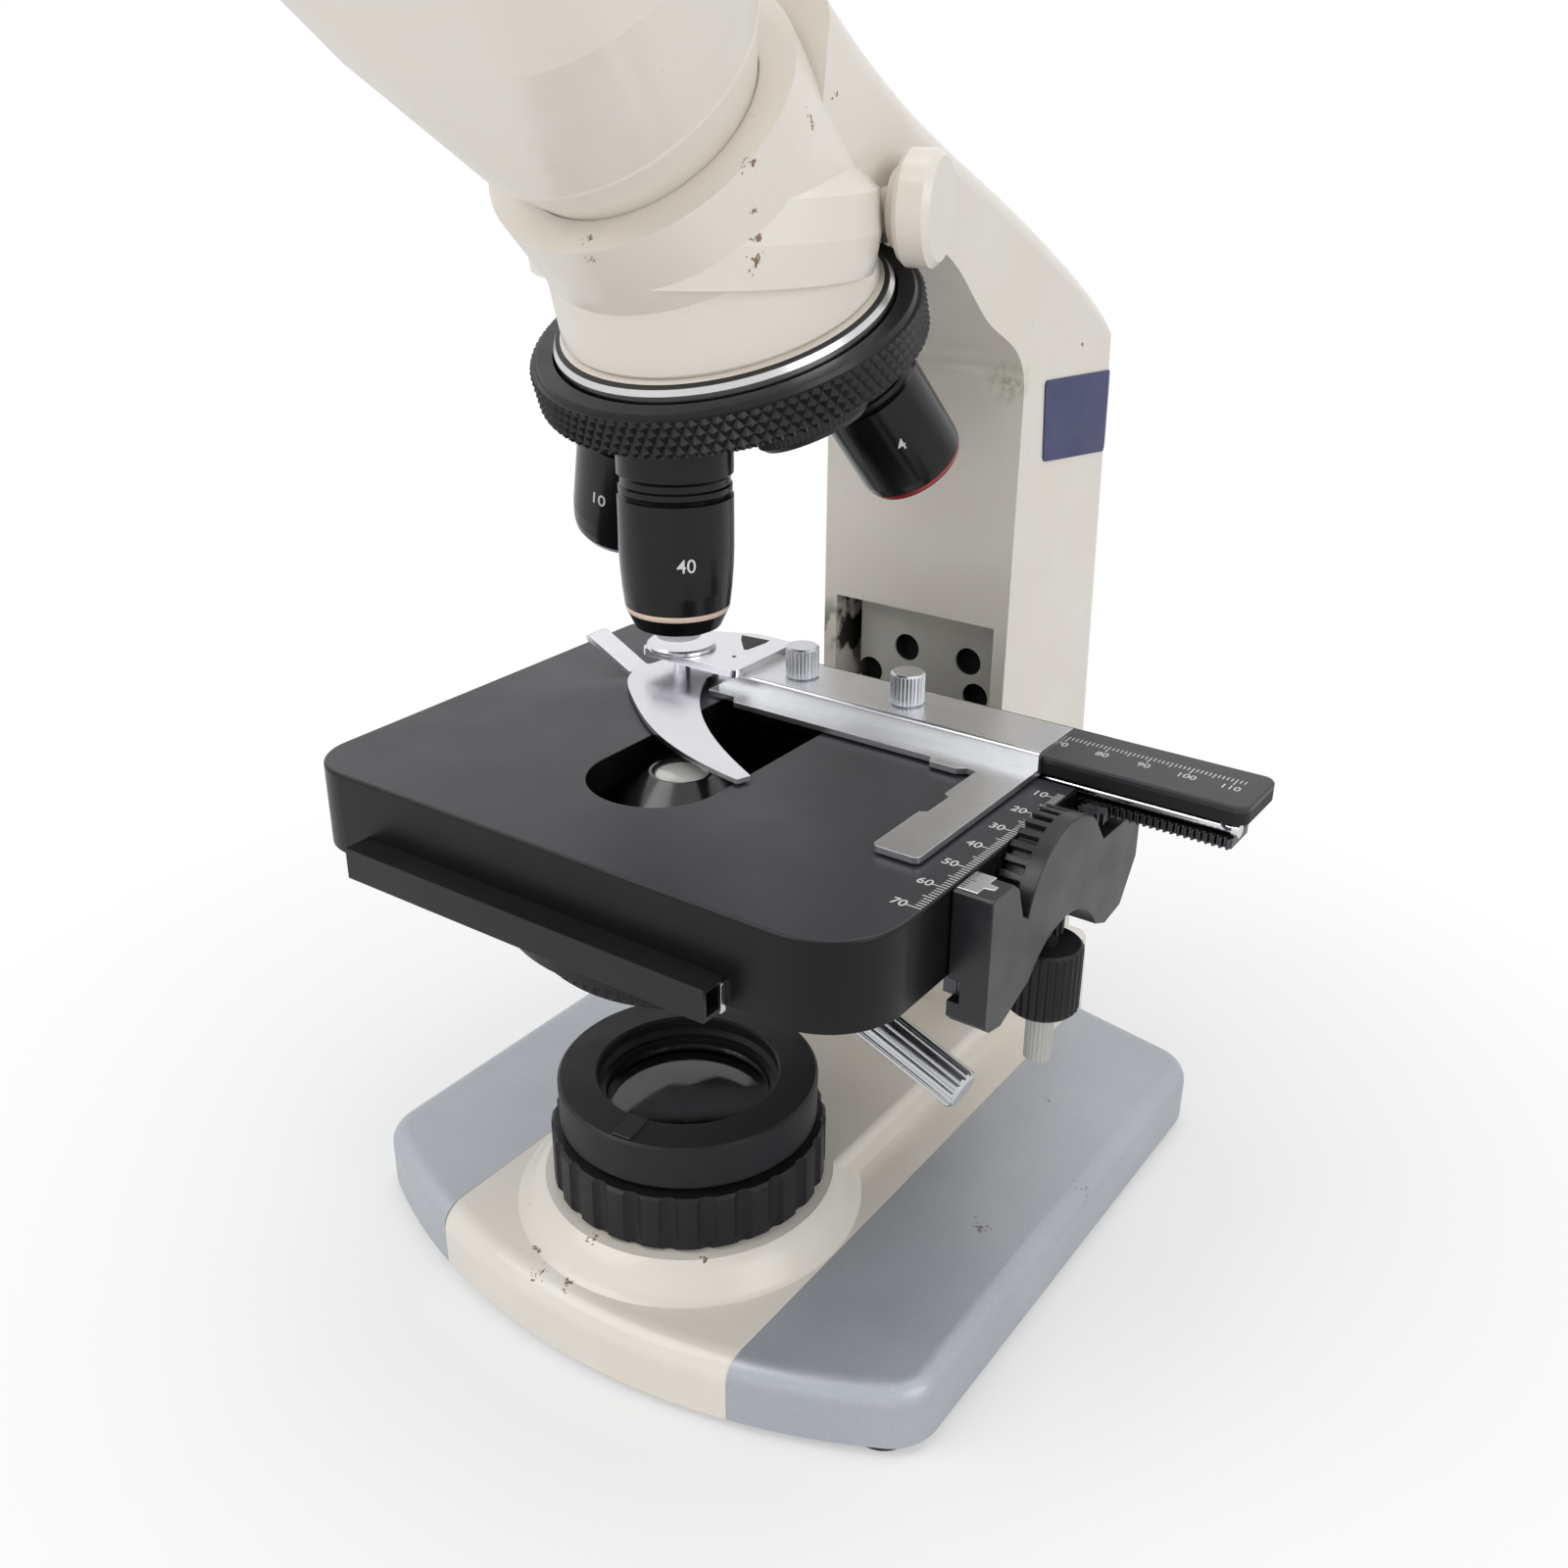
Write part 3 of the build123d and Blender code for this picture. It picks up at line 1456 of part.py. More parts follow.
with BuildPart() as revolving_turret:
    turn(
        turret_frame,
        [
            (0, -1.6),
            (8.0, -1.6),
            (9.5, 0),
            (turret_radius - 1.0, 0),
            (turret_radius, 1.0),
            (turret_radius, turret_height - turret_lip),
            (turret_radius - 1.2, turret_height),
            (turret_inner_radius, turret_height),
            (turret_inner_radius, turret_floor),
            (0, turret_floor),
        ],
    )
    for index in range(port_count):
        port = port_frame(index)
        rod(port, port_boss_radius, -2.0, port_boss_height)
    # Trims what the bosses push through the floor
    rod(turret_frame, turret_inner_radius, turret_floor, turret_height + 4, Mode.SUBTRACT)
    for index in range(port_count):
        port = port_frame(index)
        rod(port, port_thread_radius + thread_gap, 0.6, port_boss_height + 1, Mode.SUBTRACT)
        rod(port, 8.0, -8, 2, Mode.SUBTRACT)
    rod(turret_frame, pivot_radius + running_gap, -5, turret_floor + 1, Mode.SUBTRACT)
    # Rows of grip grooves round the ring
    with BuildSketch(turret_frame.offset(1.4)) as section:
        with PolarLocations(turret_radius + 0.3, knurl_count):
            Circle(knurl_depth)
    extrude(section.sketch, amount=turret_height - turret_lip - 2.0, mode=Mode.SUBTRACT)

save(revolving_turret.part, "revolving_turret")


def objective(port, barrel):
    """Objective hung in a port: thread, the collar that all share, and a barrel outline."""
    seat = port_boss_height
    low = objective_radius - collar_groove
    collar = [
        (objective_radius - 0.4, 0.0),
        (objective_radius, 0.4),
        (objective_radius, 7.4),
        (low, 8.2),
        (low, 9.6),
        (low + 0.4, 10.0),
        (low + 0.4, 11.2),
        (low, 11.8),
        (objective_radius, 12.4),
    ]
    points = [(0, seat - thread_length), (port_thread_radius, seat - thread_length)]
    points += [(port_thread_radius, seat)]
    points += [(radius, seat + depth) for radius, depth in collar + barrel]
    points += [(0, seat + barrel[-1][1])]
    turn(port, points)


with BuildPart() as objective_high:
    barrel = [
        (objective_radius, 24.0),
        (12.45, 28.0),
        (12.1, 32.6),
        (11.55, 37.2),
        (11.2, 38.0),
        (9.6, 41.4),
        (9.1, 41.7),
        (5.2, 41.8),
        (4.9, high_power_length),
    ]
    objective(port_frame(0), barrel)

save(objective_high.part, "objective_high")

with BuildPart() as objective_middle:
    barrel = [
        (objective_radius, 33.0),
        (12.3, 36.5),
        (11.8, 38.4),
        (10.4, 40.2),
        (6.0, 40.4),
        (5.2, middle_power_length),
    ]
    objective(port_frame(1), barrel)

save(objective_middle.part, "objective_middle")

with BuildPart() as objective_low:
    barrel = [
        (objective_radius, 34.0),
        (12.4, 36.2),
        (11.8, 37.6),
        (10.8, 38.2),
        (10.4, low_power_length),
    ]
    objective(port_frame(3), barrel)

save(objective_low.part, "objective_low")

with BuildPart() as port_plugs:
    for index in (2, 4):
        port = port_frame(index)
        turn(
            port,
            [
                (0, port_boss_height - 3.6),
                (port_thread_radius, port_boss_height - 3.6),
                (port_thread_radius, port_boss_height),
                (12.4, port_boss_height),
                (12.4, port_boss_height + 3.4),
                (11.2, port_boss_height + 4.6),
                (9.0, port_boss_height + 4.6),
                (8.4, port_boss_height + 3.4),
                (0, port_boss_height + 3.4),
            ],
        )
        grooves(port, 60, 12.7, 0.5, port_boss_height + 0.4, port_boss_height + 3.4)

save(port_plugs.part, "port_plugs")

# Head: barrel in the seat, bowl-shaped housing above it
with BuildPart() as head_housing:
    rod(head_frame, head_cone_radius, head_cone_height, head_cone_height + 2)
    with BuildSketch(head_frame.offset(head_lip)):
        Circle(barrel_radius + 0.3)
    with BuildSketch(head_frame.offset(head_cone_height)):
        Circle(head_cone_radius)
    loft()
    with BuildSketch(head_frame.offset(head_cone_height + 1)):
        RectangleRounded(2 * head_cone_radius + 0.4, 2 * head_cone_radius, head_cone_radius - 0.4)
    with BuildSketch(head_frame.offset(head_waist)):
        RectangleRounded(head_waist_width, head_waist_depth, head_waist_corner)
    loft()
    with BuildSketch(head_frame.offset(head_waist)):
        RectangleRounded(head_waist_width, head_waist_depth, head_waist_corner)
    with BuildSketch(head_frame.offset(head_end)):
        RectangleRounded(head_end_width, head_end_depth, head_end_corner)
    loft()
    fillet(head_housing.faces().sort_by(Axis(head_frame.origin, head_frame.z_dir))[-1].edges(), 4.0)
    rod(head_frame, barrel_radius, -seat_depth + 0.5, head_lip + 0.5)
    rod(head_frame, stub_radius, -seat_depth - stub_length + 1, 0)
    rod(head_frame, optical_bore_radius, -40, head_end - 8, Mode.SUBTRACT)
    pin_frame = Plane(
        origin=head_frame.origin + head_frame.y_dir * hinge_drop,
        x_dir=head_frame.x_dir,
        z_dir=head_frame.z_dir,
    )
    rod(pin_frame, hinge_pin_radius, head_end - 1, head_end + 2 * arm_plate + 3 * arm_gap)
    pin_end = head_end + 2 * arm_plate + 3 * arm_gap
    rod(pin_frame, hinge_pin_radius + 4, pin_end, pin_end + 3)

save(head_housing.part, "head_housing")

side_reach = interpupillary / 2
rise_reach = sqrt(tube_reach**2 - side_reach**2)


def eyetube(side, level):
    """Swinging prism case with its eyepiece tube, on one side of the head."""
    centre = pin_frame.origin + pin_frame.x_dir * (side * side_reach) + pin_frame.y_dir * rise_reach
    frame = Plane(origin=centre, x_dir=pin_frame.x_dir, z_dir=pin_frame.z_dir)
    low = head_end + arm_gap
    top = head_end + 2 * arm_plate + 4 * arm_gap + 3
    lug_low = low + level * (arm_plate + arm_gap)
    rod(pin_frame, lug_radius, lug_low, lug_low + arm_plate)
    with BuildSketch(pin_frame.offset(lug_low)) as web:
        with BuildLine():
            Polyline(
                (-side * 8, lug_radius - 3),
                (side * (side_reach - 6), rise_reach + 14),
                (side * (side_reach + 8), rise_reach - 14),
                (side * 6, -lug_radius + 2),
                close=True,
            )
        make_face()
    extrude(web.sketch, amount=arm_plate)
    rod(frame, tube_boss_radius, low, top)
    rod(pin_frame, lug_radius + slide_gap, lug_low + arm_plate, top + 4, Mode.SUBTRACT)
    rod(pin_frame, lug_radius + slide_gap, low - 1, lug_low, Mode.SUBTRACT)
    rod(pin_frame, hinge_pin_radius + running_gap, low - 1, top + 4, Mode.SUBTRACT)
    turn(
        frame,
        [
            (0, top - 1),
            (tube_radius + 3, top - 1),
            (tube_radius + 3, top + 2),
            (tube_radius + 1.6, top + 4),
            (tube_radius, top + 4),
            (tube_radius, top + tube_length),
            (0, top + tube_length),
        ],
    )
    rod(frame, sleeve_radius, low + 4, top + tube_length + 1, Mode.SUBTRACT)
    return frame, top + tube_length


with BuildPart() as eyetube_left:
    left_frame, tube_top = eyetube(-1, 0)

save(eyetube_left.part, "eyetube_left")

with BuildPart() as eyetube_right:
    right_frame, tube_top = eyetube(1, 1)

save(eyetube_right.part, "eyetube_right")

for frame, name in ((left_frame, "eyepiece_left"), (right_frame, "eyepiece_right")):
    with BuildPart() as eyepiece:
        turn(
            frame,
            [
                (8.0, tube_top - 18),
                (sleeve_radius - running_gap, tube_top - 18),
                (sleeve_radius - running_gap, tube_top),
                (eyepiece_radius - 1.5, tube_top),
                (eyepiece_radius, tube_top + 1.5),
                (eyepiece_radius, tube_top + eyepiece_height - 6),
                (eyepiece_radius - 1.4, tube_top + eyepiece_height - 5),
                (eyepiece_radius - 1.4, tube_top + eyepiece_height),
                (eye_lens_radius, tube_top + eyepiece_height),
                (eye_lens_radius, tube_top + eyepiece_height - 4),
                (8.0, tube_top + eyepiece_height - 5),
            ],
        )
        eye_top = tube_top + eyepiece_height
        lens(frame, eye_lens_radius - 0.02, eye_top - 4, eye_top - 2.2, 1.2)
    save(eyepiece.part, name)

for frame, name in ((left_frame, "eyecup_left"), (right_frame, "eyecup_right")):
    with BuildPart() as eyecup:
        cup = tube_top + eyepiece_height
        turn(
            frame,
            [
                (eyepiece_radius - 1.38, cup - 4.6),
                (eyepiece_radius + 0.8, cup - 4.6),
                (eyecup_radius, cup + eyecup_height),
                (eyecup_radius - 1.6, cup + eyecup_height),
                (eyepiece_radius - 2.2, cup + 1.4),
                (eye_lens_radius + 1, cup + 1.0),
                (eye_lens_radius + 1, cup + 0.02),
                (eyepiece_radius - 1.38, cup + 0.02),
            ],
        )
    save(eyecup.part, name)

with BuildPart() as diopter_ring:
    ring_low = tube_top - tube_length + 8
    turn(
        left_frame,
        [
            (tube_radius + running_gap, ring_low),
            (diopter_radius, ring_low),
            (diopter_radius, ring_low + diopter_height),
            (tube_radius + running_gap, ring_low + diopter_height),
        ],
    )
    grooves(left_frame, diopter_ribs, diopter_radius + 0.4, 0.8, ring_low + 1, ring_low + diopter_height - 1)

save(diopter_ring.part, "diopter_ring")
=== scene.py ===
import math

import bmesh
import bpy
from mathutils import Matrix, Vector
from mathutils.bvhtree import BVHTree


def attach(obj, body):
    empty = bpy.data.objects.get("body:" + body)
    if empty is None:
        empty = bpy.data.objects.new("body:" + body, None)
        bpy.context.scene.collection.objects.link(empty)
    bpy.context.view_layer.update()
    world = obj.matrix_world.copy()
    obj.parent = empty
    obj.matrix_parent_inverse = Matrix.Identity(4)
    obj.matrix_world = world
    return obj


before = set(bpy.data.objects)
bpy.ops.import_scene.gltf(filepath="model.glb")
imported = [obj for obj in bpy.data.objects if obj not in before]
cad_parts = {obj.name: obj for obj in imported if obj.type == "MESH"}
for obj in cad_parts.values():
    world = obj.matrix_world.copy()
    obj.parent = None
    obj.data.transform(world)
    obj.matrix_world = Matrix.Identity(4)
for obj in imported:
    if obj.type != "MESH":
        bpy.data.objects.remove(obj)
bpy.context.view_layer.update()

MM = 0.001


def linear(red, green, blue):
    """Linear colour of an sRGB one written 0 to 255."""
    def channel(value):
        value /= 255
        return value / 12.92 if value <= 0.04045 else ((value + 0.055) / 1.055) ** 2.4
    return (channel(red), channel(green), channel(blue), 1)


class Surface:
    """A procedural node material, built up feature by feature."""

    def __init__(self, name, colour, rough, metal=0.0, coat=0.0, ior=1.5, transmission=0.0, shine=0.5):
        self.material = bpy.data.materials.new(name)
        self.material.use_nodes = True
        self.tree = self.material.node_tree
        self.tree.nodes.clear()
        output = self.add("ShaderNodeOutputMaterial")
        self.shader = self.add("ShaderNodeBsdfPrincipled")
        self.link(self.shader.outputs[0], output.inputs[0])
        self.shader.inputs["Metallic"].default_value = metal
        self.shader.inputs["Coat Weight"].default_value = coat
        self.shader.inputs["Coat Roughness"].default_value = 0.12
        self.shader.inputs["IOR"].default_value = ior
        self.shader.inputs["Specular IOR Level"].default_value = shine
        self.shader.inputs["Transmission Weight"].default_value = transmission
        self.shader.inputs["Base Color"].default_value = colour
        self.shader.inputs["Roughness"].default_value = rough
        self.colour = colour
        self.rough = rough
        self.where = self.add("ShaderNodeTexCoord").outputs["Object"]
        self.paint = None
        self.gloss = None
        self.shell = None
        self.normal = None

    def add(self, kind, **values):
        item = self.tree.nodes.new(kind)
        for key, value in values.items():
            setattr(item, key, value)
        return item

    def link(self, source, target):
        self.tree.links.new(source, target)

    def put(self, item, values):
        for key, value in values.items():
            if hasattr(value, "is_output") or isinstance(value, bpy.types.NodeSocket):
                self.link(value, item.inputs[key])
            else:
                item.inputs[key].default_value = value
        return item

    def noise(self, scale, detail=3.0, rough=0.5, stretch=None, seed=0.0):
        where = self.where
        if stretch or seed:
            mapping = self.add("ShaderNodeMapping")
            self.link(where, mapping.inputs["Vector"])
            mapping.inputs["Scale"].default_value = stretch or (1, 1, 1)
            mapping.inputs["Location"].default_value = (seed, seed * 0.7, -seed)
            where = mapping.outputs[0]
        texture = self.add("ShaderNodeTexNoise")
        self.put(texture, {"Vector": where, "Scale": scale, "Detail": detail, "Roughness": rough})
        return texture.outputs["Fac"]

    def ramp(self, value, low, high, low_out=0.0, high_out=1.0):
        item = self.add("ShaderNodeMapRange", clamp=True)
        return self.put(item, {0: value, 1: low, 2: high, 3: low_out, 4: high_out}).outputs[0]

    def math(self, operation, first, second=0.0, third=0.0):
        item = self.add("ShaderNodeMath", operation=operation)
        return self.put(item, {0: first, 1: second, 2: third}).outputs[0]

    def mix(self, share, first, second):
        item = self.add("ShaderNodeMix", data_type="RGBA")
        self.put(item, {0: share, 6: first, 7: second})
        return item.outputs[2]

    def tone(self, other, scale=30.0, low=0.35, high=0.65, amount=1.0, **noise):
        """Blends the colour towards another one in soft clouds."""
        share = self.ramp(self.noise(scale, **noise), low, high, 0.0, amount)
        self.paint = self.mix(share, self.paint or self.colour, other)
        self.link(self.paint, self.shader.inputs["Base Color"])
        return self

    def mask(self, share, other, rough=None, metal=None):
        """Lays another colour where the share is 1."""
        self.paint = self.mix(share, self.paint or self.colour, other)
        self.link(self.paint, self.shader.inputs["Base Color"])
        if rough is not None:
            self.gloss = self.ramp(share, 0.0, 1.0, self.gloss or self.rough, rough)
            self.link(self.gloss, self.shader.inputs["Roughness"])
        if metal is not None:
            self.shell = self.ramp(share, 0.0, 1.0, self.shell or self.shader.inputs["Metallic"].default_value, metal)
            self.link(self.shell, self.shader.inputs["Metallic"])
        return self

    def polish(self, scale=60.0, spread=0.08, **noise):
        """Varies the roughness."""
        value = self.ramp(self.noise(scale, **noise), 0.3, 0.7, self.rough - spread, self.rough + spread)
        self.link(value, self.shader.inputs["Roughness"])
        return self

    def grain(self, scale=2500.0, height=0.00002, **noise):
        """Raises a fine relief."""
        bump = self.add("ShaderNodeBump")
        self.put(bump, {"Strength": 1.0, "Distance": height, "Height": self.noise(scale, **noise)})
        if self.normal:
            self.link(self.normal, bump.inputs["Normal"])
        self.normal = bump.outputs[0]
        self.link(self.normal, self.shader.inputs["Normal"])
        return self

    def round_edges(self, radius):
        """Catches light along sharp edges."""
        bevel = self.add("ShaderNodeBevel", samples=6)
        bevel.inputs["Radius"].default_value = radius
        self.normal = bevel.outputs[0]
        self.link(self.normal, self.shader.inputs["Normal"])
        return self

    def along(self, origin, direction, low, high):
        """1 between two depths in mm along an axis, else 0."""
        item = self.add("ShaderNodeVectorMath", operation="SUBTRACT")
        self.link(self.where, item.inputs[0])
        item.inputs[1].default_value = [value * MM for value in origin]
        depth = self.add("ShaderNodeVectorMath", operation="DOT_PRODUCT")
        self.link(item.outputs[0], depth.inputs[0])
        depth.inputs[1].default_value = direction
        middle = (low + high) / 2 * MM
        return self.math("COMPARE", depth.outputs["Value"], middle, (high - low) / 2 * MM)

    def upward(self):
        """1 on faces that look up, else 0."""
        turn = self.add("ShaderNodeSeparateXYZ")
        self.link(self.add("ShaderNodeNewGeometry").outputs["Normal"], turn.inputs[0])
        return self.ramp(turn.outputs[2], 0.75, 0.97)

    def near(self, point, radius):
        """1 at a point in mm, falling to 0 at a radius in mm."""
        apart = self.add("ShaderNodeVectorMath", operation="DISTANCE")
        self.link(self.where, apart.inputs[0])
        apart.inputs[1].default_value = [value * MM for value in point]
        return self.ramp(apart.outputs["Value"], 0.0, radius * MM, 1.0, 0.0)


def chips(surface, spots, colour, scale=420.0, seed=0.0):
    """Small worn chips in the paint round some places."""
    total = None
    for point, radius in spots:
        here = surface.near(point, radius)
        total = here if total is None else surface.math("MAXIMUM", total, here)
    flakes = surface.noise(scale, detail=4.0, rough=0.62, seed=seed)
    share = surface.math("MULTIPLY_ADD", total, 0.4, flakes)
    share = surface.ramp(share, 0.86, 0.9)
    surface.mask(share, colour)


def cream():
    enamel = Surface("cream_enamel", linear(226, 220, 210), 0.34, coat=0.3)
    enamel.tone(linear(219, 210, 196), 14.0, 0.4, 0.7, 0.5)
    enamel.tone(linear(231, 227, 220), 45.0, 0.5, 0.75, 0.5, seed=3.0)
    moss = enamel.ramp(enamel.noise(500.0, seed=8.0), 0.4, 0.6, 0.0, 0.7)
    moss = enamel.math("MULTIPLY", moss, enamel.near((24.7, 103, 216), 7))
    enamel.mask(moss, linear(150, 158, 96))
    # Painted shade: a dark noisy patch inside the left of the column's window, round (-25.3, 114, 140) mm
    painted_window_shade = enamel.ramp(enamel.noise(120.0, seed=4.0), 0.42, 0.52)
    painted_window_shade = enamel.math("MULTIPLY", painted_window_shade, enamel.ramp(enamel.near((-25.3, 114, 140), 16), 0.1, 0.4))
    enamel.mask(painted_window_shade, linear(46, 44, 40))
    spots = [
        ((29.3, 14.9, 282.8), 4), ((32.1, 2.6, 278.9), 6), ((31.5, -15.8, 273.3), 6), ((30.1, -12.5, 264.4), 4),
        ((29.4, -10.7, 259.1), 4), ((29.1, -10.5, 254.8), 5), ((4.3, -30.1, 259), 4), ((5.5, -30.8, 255.8), 3.5),
        ((29.3, 135.9, 220.9), 3.5), ((29.3, 150, 221), 3.5), ((-1, -37.2, 27.5), 5), ((26, -27.5, 27.5), 4),
        ((-15.8, -41.8, 19.7), 6), ((-10.3, -47, 19.2), 7), ((-1.9, -46.3, 19.4), 6), ((-20, -38, 20), 4),
    ]
    chips(enamel, spots, linear(120, 98, 74), 800.0)
    enamel.polish(80.0, 0.07)
    enamel.grain(1500.0, 0.000012)
    return enamel.material


def simple(name, colour, rough, other=None, metal=0.0, coat=0.0, edge=0.0, grain=(2500.0, 0.00001), shine=0.5):
    surface = Surface(name, linear(*colour), rough, metal, coat, shine=shine)
    surface.tone(linear(*(other or [value * 0.9 for value in colour])), 40.0, amount=0.7)
    surface.polish(90.0, min(0.07, rough * 0.4))
    if edge:
        surface.round_edges(edge)
    surface.grain(*grain)
    return surface.material


def silver_paint():
    paint = Surface("silver_paint", linear(176, 180, 186), 0.4, metal=0.3, coat=0.15)
    paint.tone(linear(164, 168, 176), 22.0, amount=0.6)
    paint.tone(linear(200, 203, 208), 2600.0, 0.56, 0.7, 0.5, seed=2.0)
    chips(paint, [((70, 30, 19), 9), ((84, 60, 17), 8), ((60, 90, 19), 6), ((80, -20, 18), 5)], linear(120, 118, 120), 700.0)
    paint.polish(60.0, 0.06)
    paint.grain(1800.0, 0.00002)
    return paint.material


def brushed(name, colour, rough, along=(1, 1, 1), bright=None):
    metal = Surface(name, linear(*colour), rough, metal=1.0)
    metal.tone(linear(*(bright or [value * 0.9 for value in colour])), 25.0, amount=0.5)
    metal.polish(140.0, 0.03, stretch=along)
    metal.round_edges(0.0002)
    metal.grain(900.0, 0.000006, stretch=along)
    return metal.material


def glass(name, tint, rough):
    lens = Surface(name, linear(*tint), rough, ior=1.52, transmission=1.0)
    lens.polish(300.0, rough * 0.6)
    lens.grain(500.0, 0.000001)
    return lens.material


def stage_black():
    """Black anodising, with a painted paler top for the light that falls on it."""
    metal = Surface("stage_black", linear(9, 9, 11), 0.36, shine=0.25)
    clouds = metal.ramp(metal.noise(18.0, seed=5.0), 0.5, 0.8, 0.0, 0.5)
    # Painted light: faces that look up take a paler grey in soft clouds, for the light falling on the stage's top
    metal.mask(metal.upward(), metal.mix(clouds, linear(54, 55, 59), linear(64, 65, 70)))
    metal.polish(60.0, 0.05)
    metal.round_edges(0.0004)
    metal.grain(3500.0, 0.000008)
    return metal.material


def slide_plate():
    """Grey plate in the column's window, with painted shade where its holes go in."""
    metal = Surface("slide_plate", linear(214, 212, 203), 0.42, metal=0.1)
    metal.tone(linear(190, 187, 177), 30.0, amount=0.7)
    # Painted shade: near black on faces 0.7 to 30 mm behind y = 112 mm, inside the plate's holes
    metal.mask(metal.along((0, 112, 0), (0, 1, 0), 0.7, 30), linear(14, 14, 13), 0.8)
    metal.grain(1500.0, 0.00001)
    return metal.material


def ruler_black():
    """Black ruler, with painted shade making it darker under the lip of its top plate."""
    metal = Surface("ruler_black", linear(46, 47, 50), 0.4, shine=0.4)
    metal.tone(linear(40, 41, 44), 40.0, amount=0.7)
    # Painted shade: near black on the 10 mm below a height of 146 mm, for the shaded recess under the top plate
    metal.mask(metal.along((0, 0, 146.0), (0, 0, -1), 0, 10), linear(10, 10, 11), 0.6)
    metal.round_edges(0.0003)
    metal.grain(2500.0, 0.00001)
    return metal.material


def barrel(name, origin, direction, bands):
    """Gloss black barrel with coloured lines and bright ends at depths along its axis."""
    paint = Surface(name, linear(11, 11, 13), 0.2, shine=0.3)
    paint.tone(linear(18, 18, 21), 60.0, amount=0.8)
    for low, high, colour, rough in bands:
        paint.mask(paint.along(origin, direction, low, high), linear(*colour), rough)
    paint.grain(2500.0, 0.000003)
    return paint.material


def nosepiece_chrome():
    """Chrome edge of the fixed nosepiece, with a dark joint and enamel above it."""
    metal = Surface("nosepiece_chrome", linear(206, 206, 205), 0.22, metal=1.0)
    origin, axis = (0, 20.8, 230.8), (0, -0.342, 0.94)
    metal.mask(metal.along(origin, axis, 12.1, 12.6), linear(30, 29, 28), 0.6, 0.0)
    metal.mask(metal.along(origin, axis, 12.6, 16), linear(224, 218, 208), 0.38, 0.0)
    metal.grain(1500.0, 0.000006)
    return metal.material


def pale_lit_glass():
    """Top lens of the condenser, painted pale with the light that it gathers."""
    lens = Surface("condenser_glass", linear(214, 212, 206), 0.1, coat=0.5)
    lens.tone(linear(186, 185, 180), 90.0, 0.35, 0.6, 0.7)
    lens.polish(120.0, 0.04)
    lens.grain(600.0, 0.000002)
    return lens.material


CREAM = cream()
SILVER = silver_paint()
STAGE = stage_black()
BLACK = simple("black_paint", (20, 20, 22), 0.34, (26, 26, 29), edge=0.0003, shine=0.3)
BRACKET = simple("bracket_satin", (30, 31, 34), 0.33, (25, 26, 29), edge=0.0006, grain=(1800.0, 0.00002), shine=0.45)
SATIN_BLACK = simple("satin_black", (21, 21, 23), 0.45, (27, 27, 30), edge=0.0002, shine=0.3)
BODY_BLACK = simple("body_black", (22, 22, 25), 0.26, (17, 17, 20), coat=0.3)
RUBBER = simple("rubber", (24, 24, 25), 0.75, (31, 31, 32), grain=(1200.0, 0.00004))
PLASTIC = simple("black_plastic", (30, 30, 32), 0.5, (25, 25, 27), grain=(1500.0, 0.00003), shine=0.4)
GREY_PLASTIC = simple("grey_plastic", (186, 185, 180), 0.4, (172, 171, 167))
OLIVE = simple("guide_grey", (200, 197, 187), 0.45, (186, 182, 172), grain=(1500.0, 0.00001))
STEEL = brushed("satin_steel", (205, 206, 208), 0.3, (1, 14, 14), bright=(226, 227, 230))
BRIGHT_STEEL = brushed("bright_steel", (216, 216, 221), 0.24, (2, 2, 1), bright=(230, 230, 234))
CHROME = brushed("chrome", (224, 225, 228), 0.12)
ALUMINIUM = brushed("bright_aluminium", (205, 207, 211), 0.28)
BRASS = brushed("brass", (196, 160, 92), 0.3)
DARK_STEEL = brushed("dark_steel", (84, 85, 88), 0.36)
BOARD = simple("board_green", (36, 92, 60), 0.5, (28, 76, 50))
PALE_LIT_LENS = pale_lit_glass()
LENS = glass("coated_lens", (238, 242, 248), 0.02)
FIELD_LENS = glass("field_glass", (150, 152, 156), 0.08)
MARKS = simple("mark_white", (218, 218, 214), 0.55, (176, 176, 174), grain=(3000.0, 0.000006))
LABEL = simple("label_blue", (40, 44, 92), 0.36, (48, 54, 106), grain=(900.0, 0.000004), shine=0.35)
RULER = ruler_black()
KNURL = simple("knurl_black", (19, 19, 21), 0.4, (25, 25, 28), shine=0.45)
INK = simple("engraved_black", (24, 24, 26), 0.6, (34, 34, 36), grain=(3000.0, 0.000006))

# Seat points and axes of the three ports that carry an objective, in mm
PORT_HIGH = ((0, 0, 223.2), (0, 0, -1))
PORT_MIDDLE = ((-21.1, 14.4, 228.5), (-0.325, 0.222, -0.919))
PORT_LOW = ((13.0, 37.6, 236.9), (0.201, 0.581, -0.788))
HIGH_BARREL = barrel("barrel_high", *PORT_HIGH, [(42.5, 43.8, (226, 202, 186), 0.35), (47.9, 60, (214, 214, 216), 0.2)])
MIDDLE_BARREL = barrel("barrel_middle", *PORT_MIDDLE, [(44.3, 45.6, (104, 116, 136), 0.3), (46.5, 60, (150, 152, 156), 0.3)])
LOW_BARREL = barrel("barrel_low", *PORT_LOW, [(42.0, 43.3, (150, 30, 38), 0.35), (44.3, 60, (200, 201, 204), 0.25)])

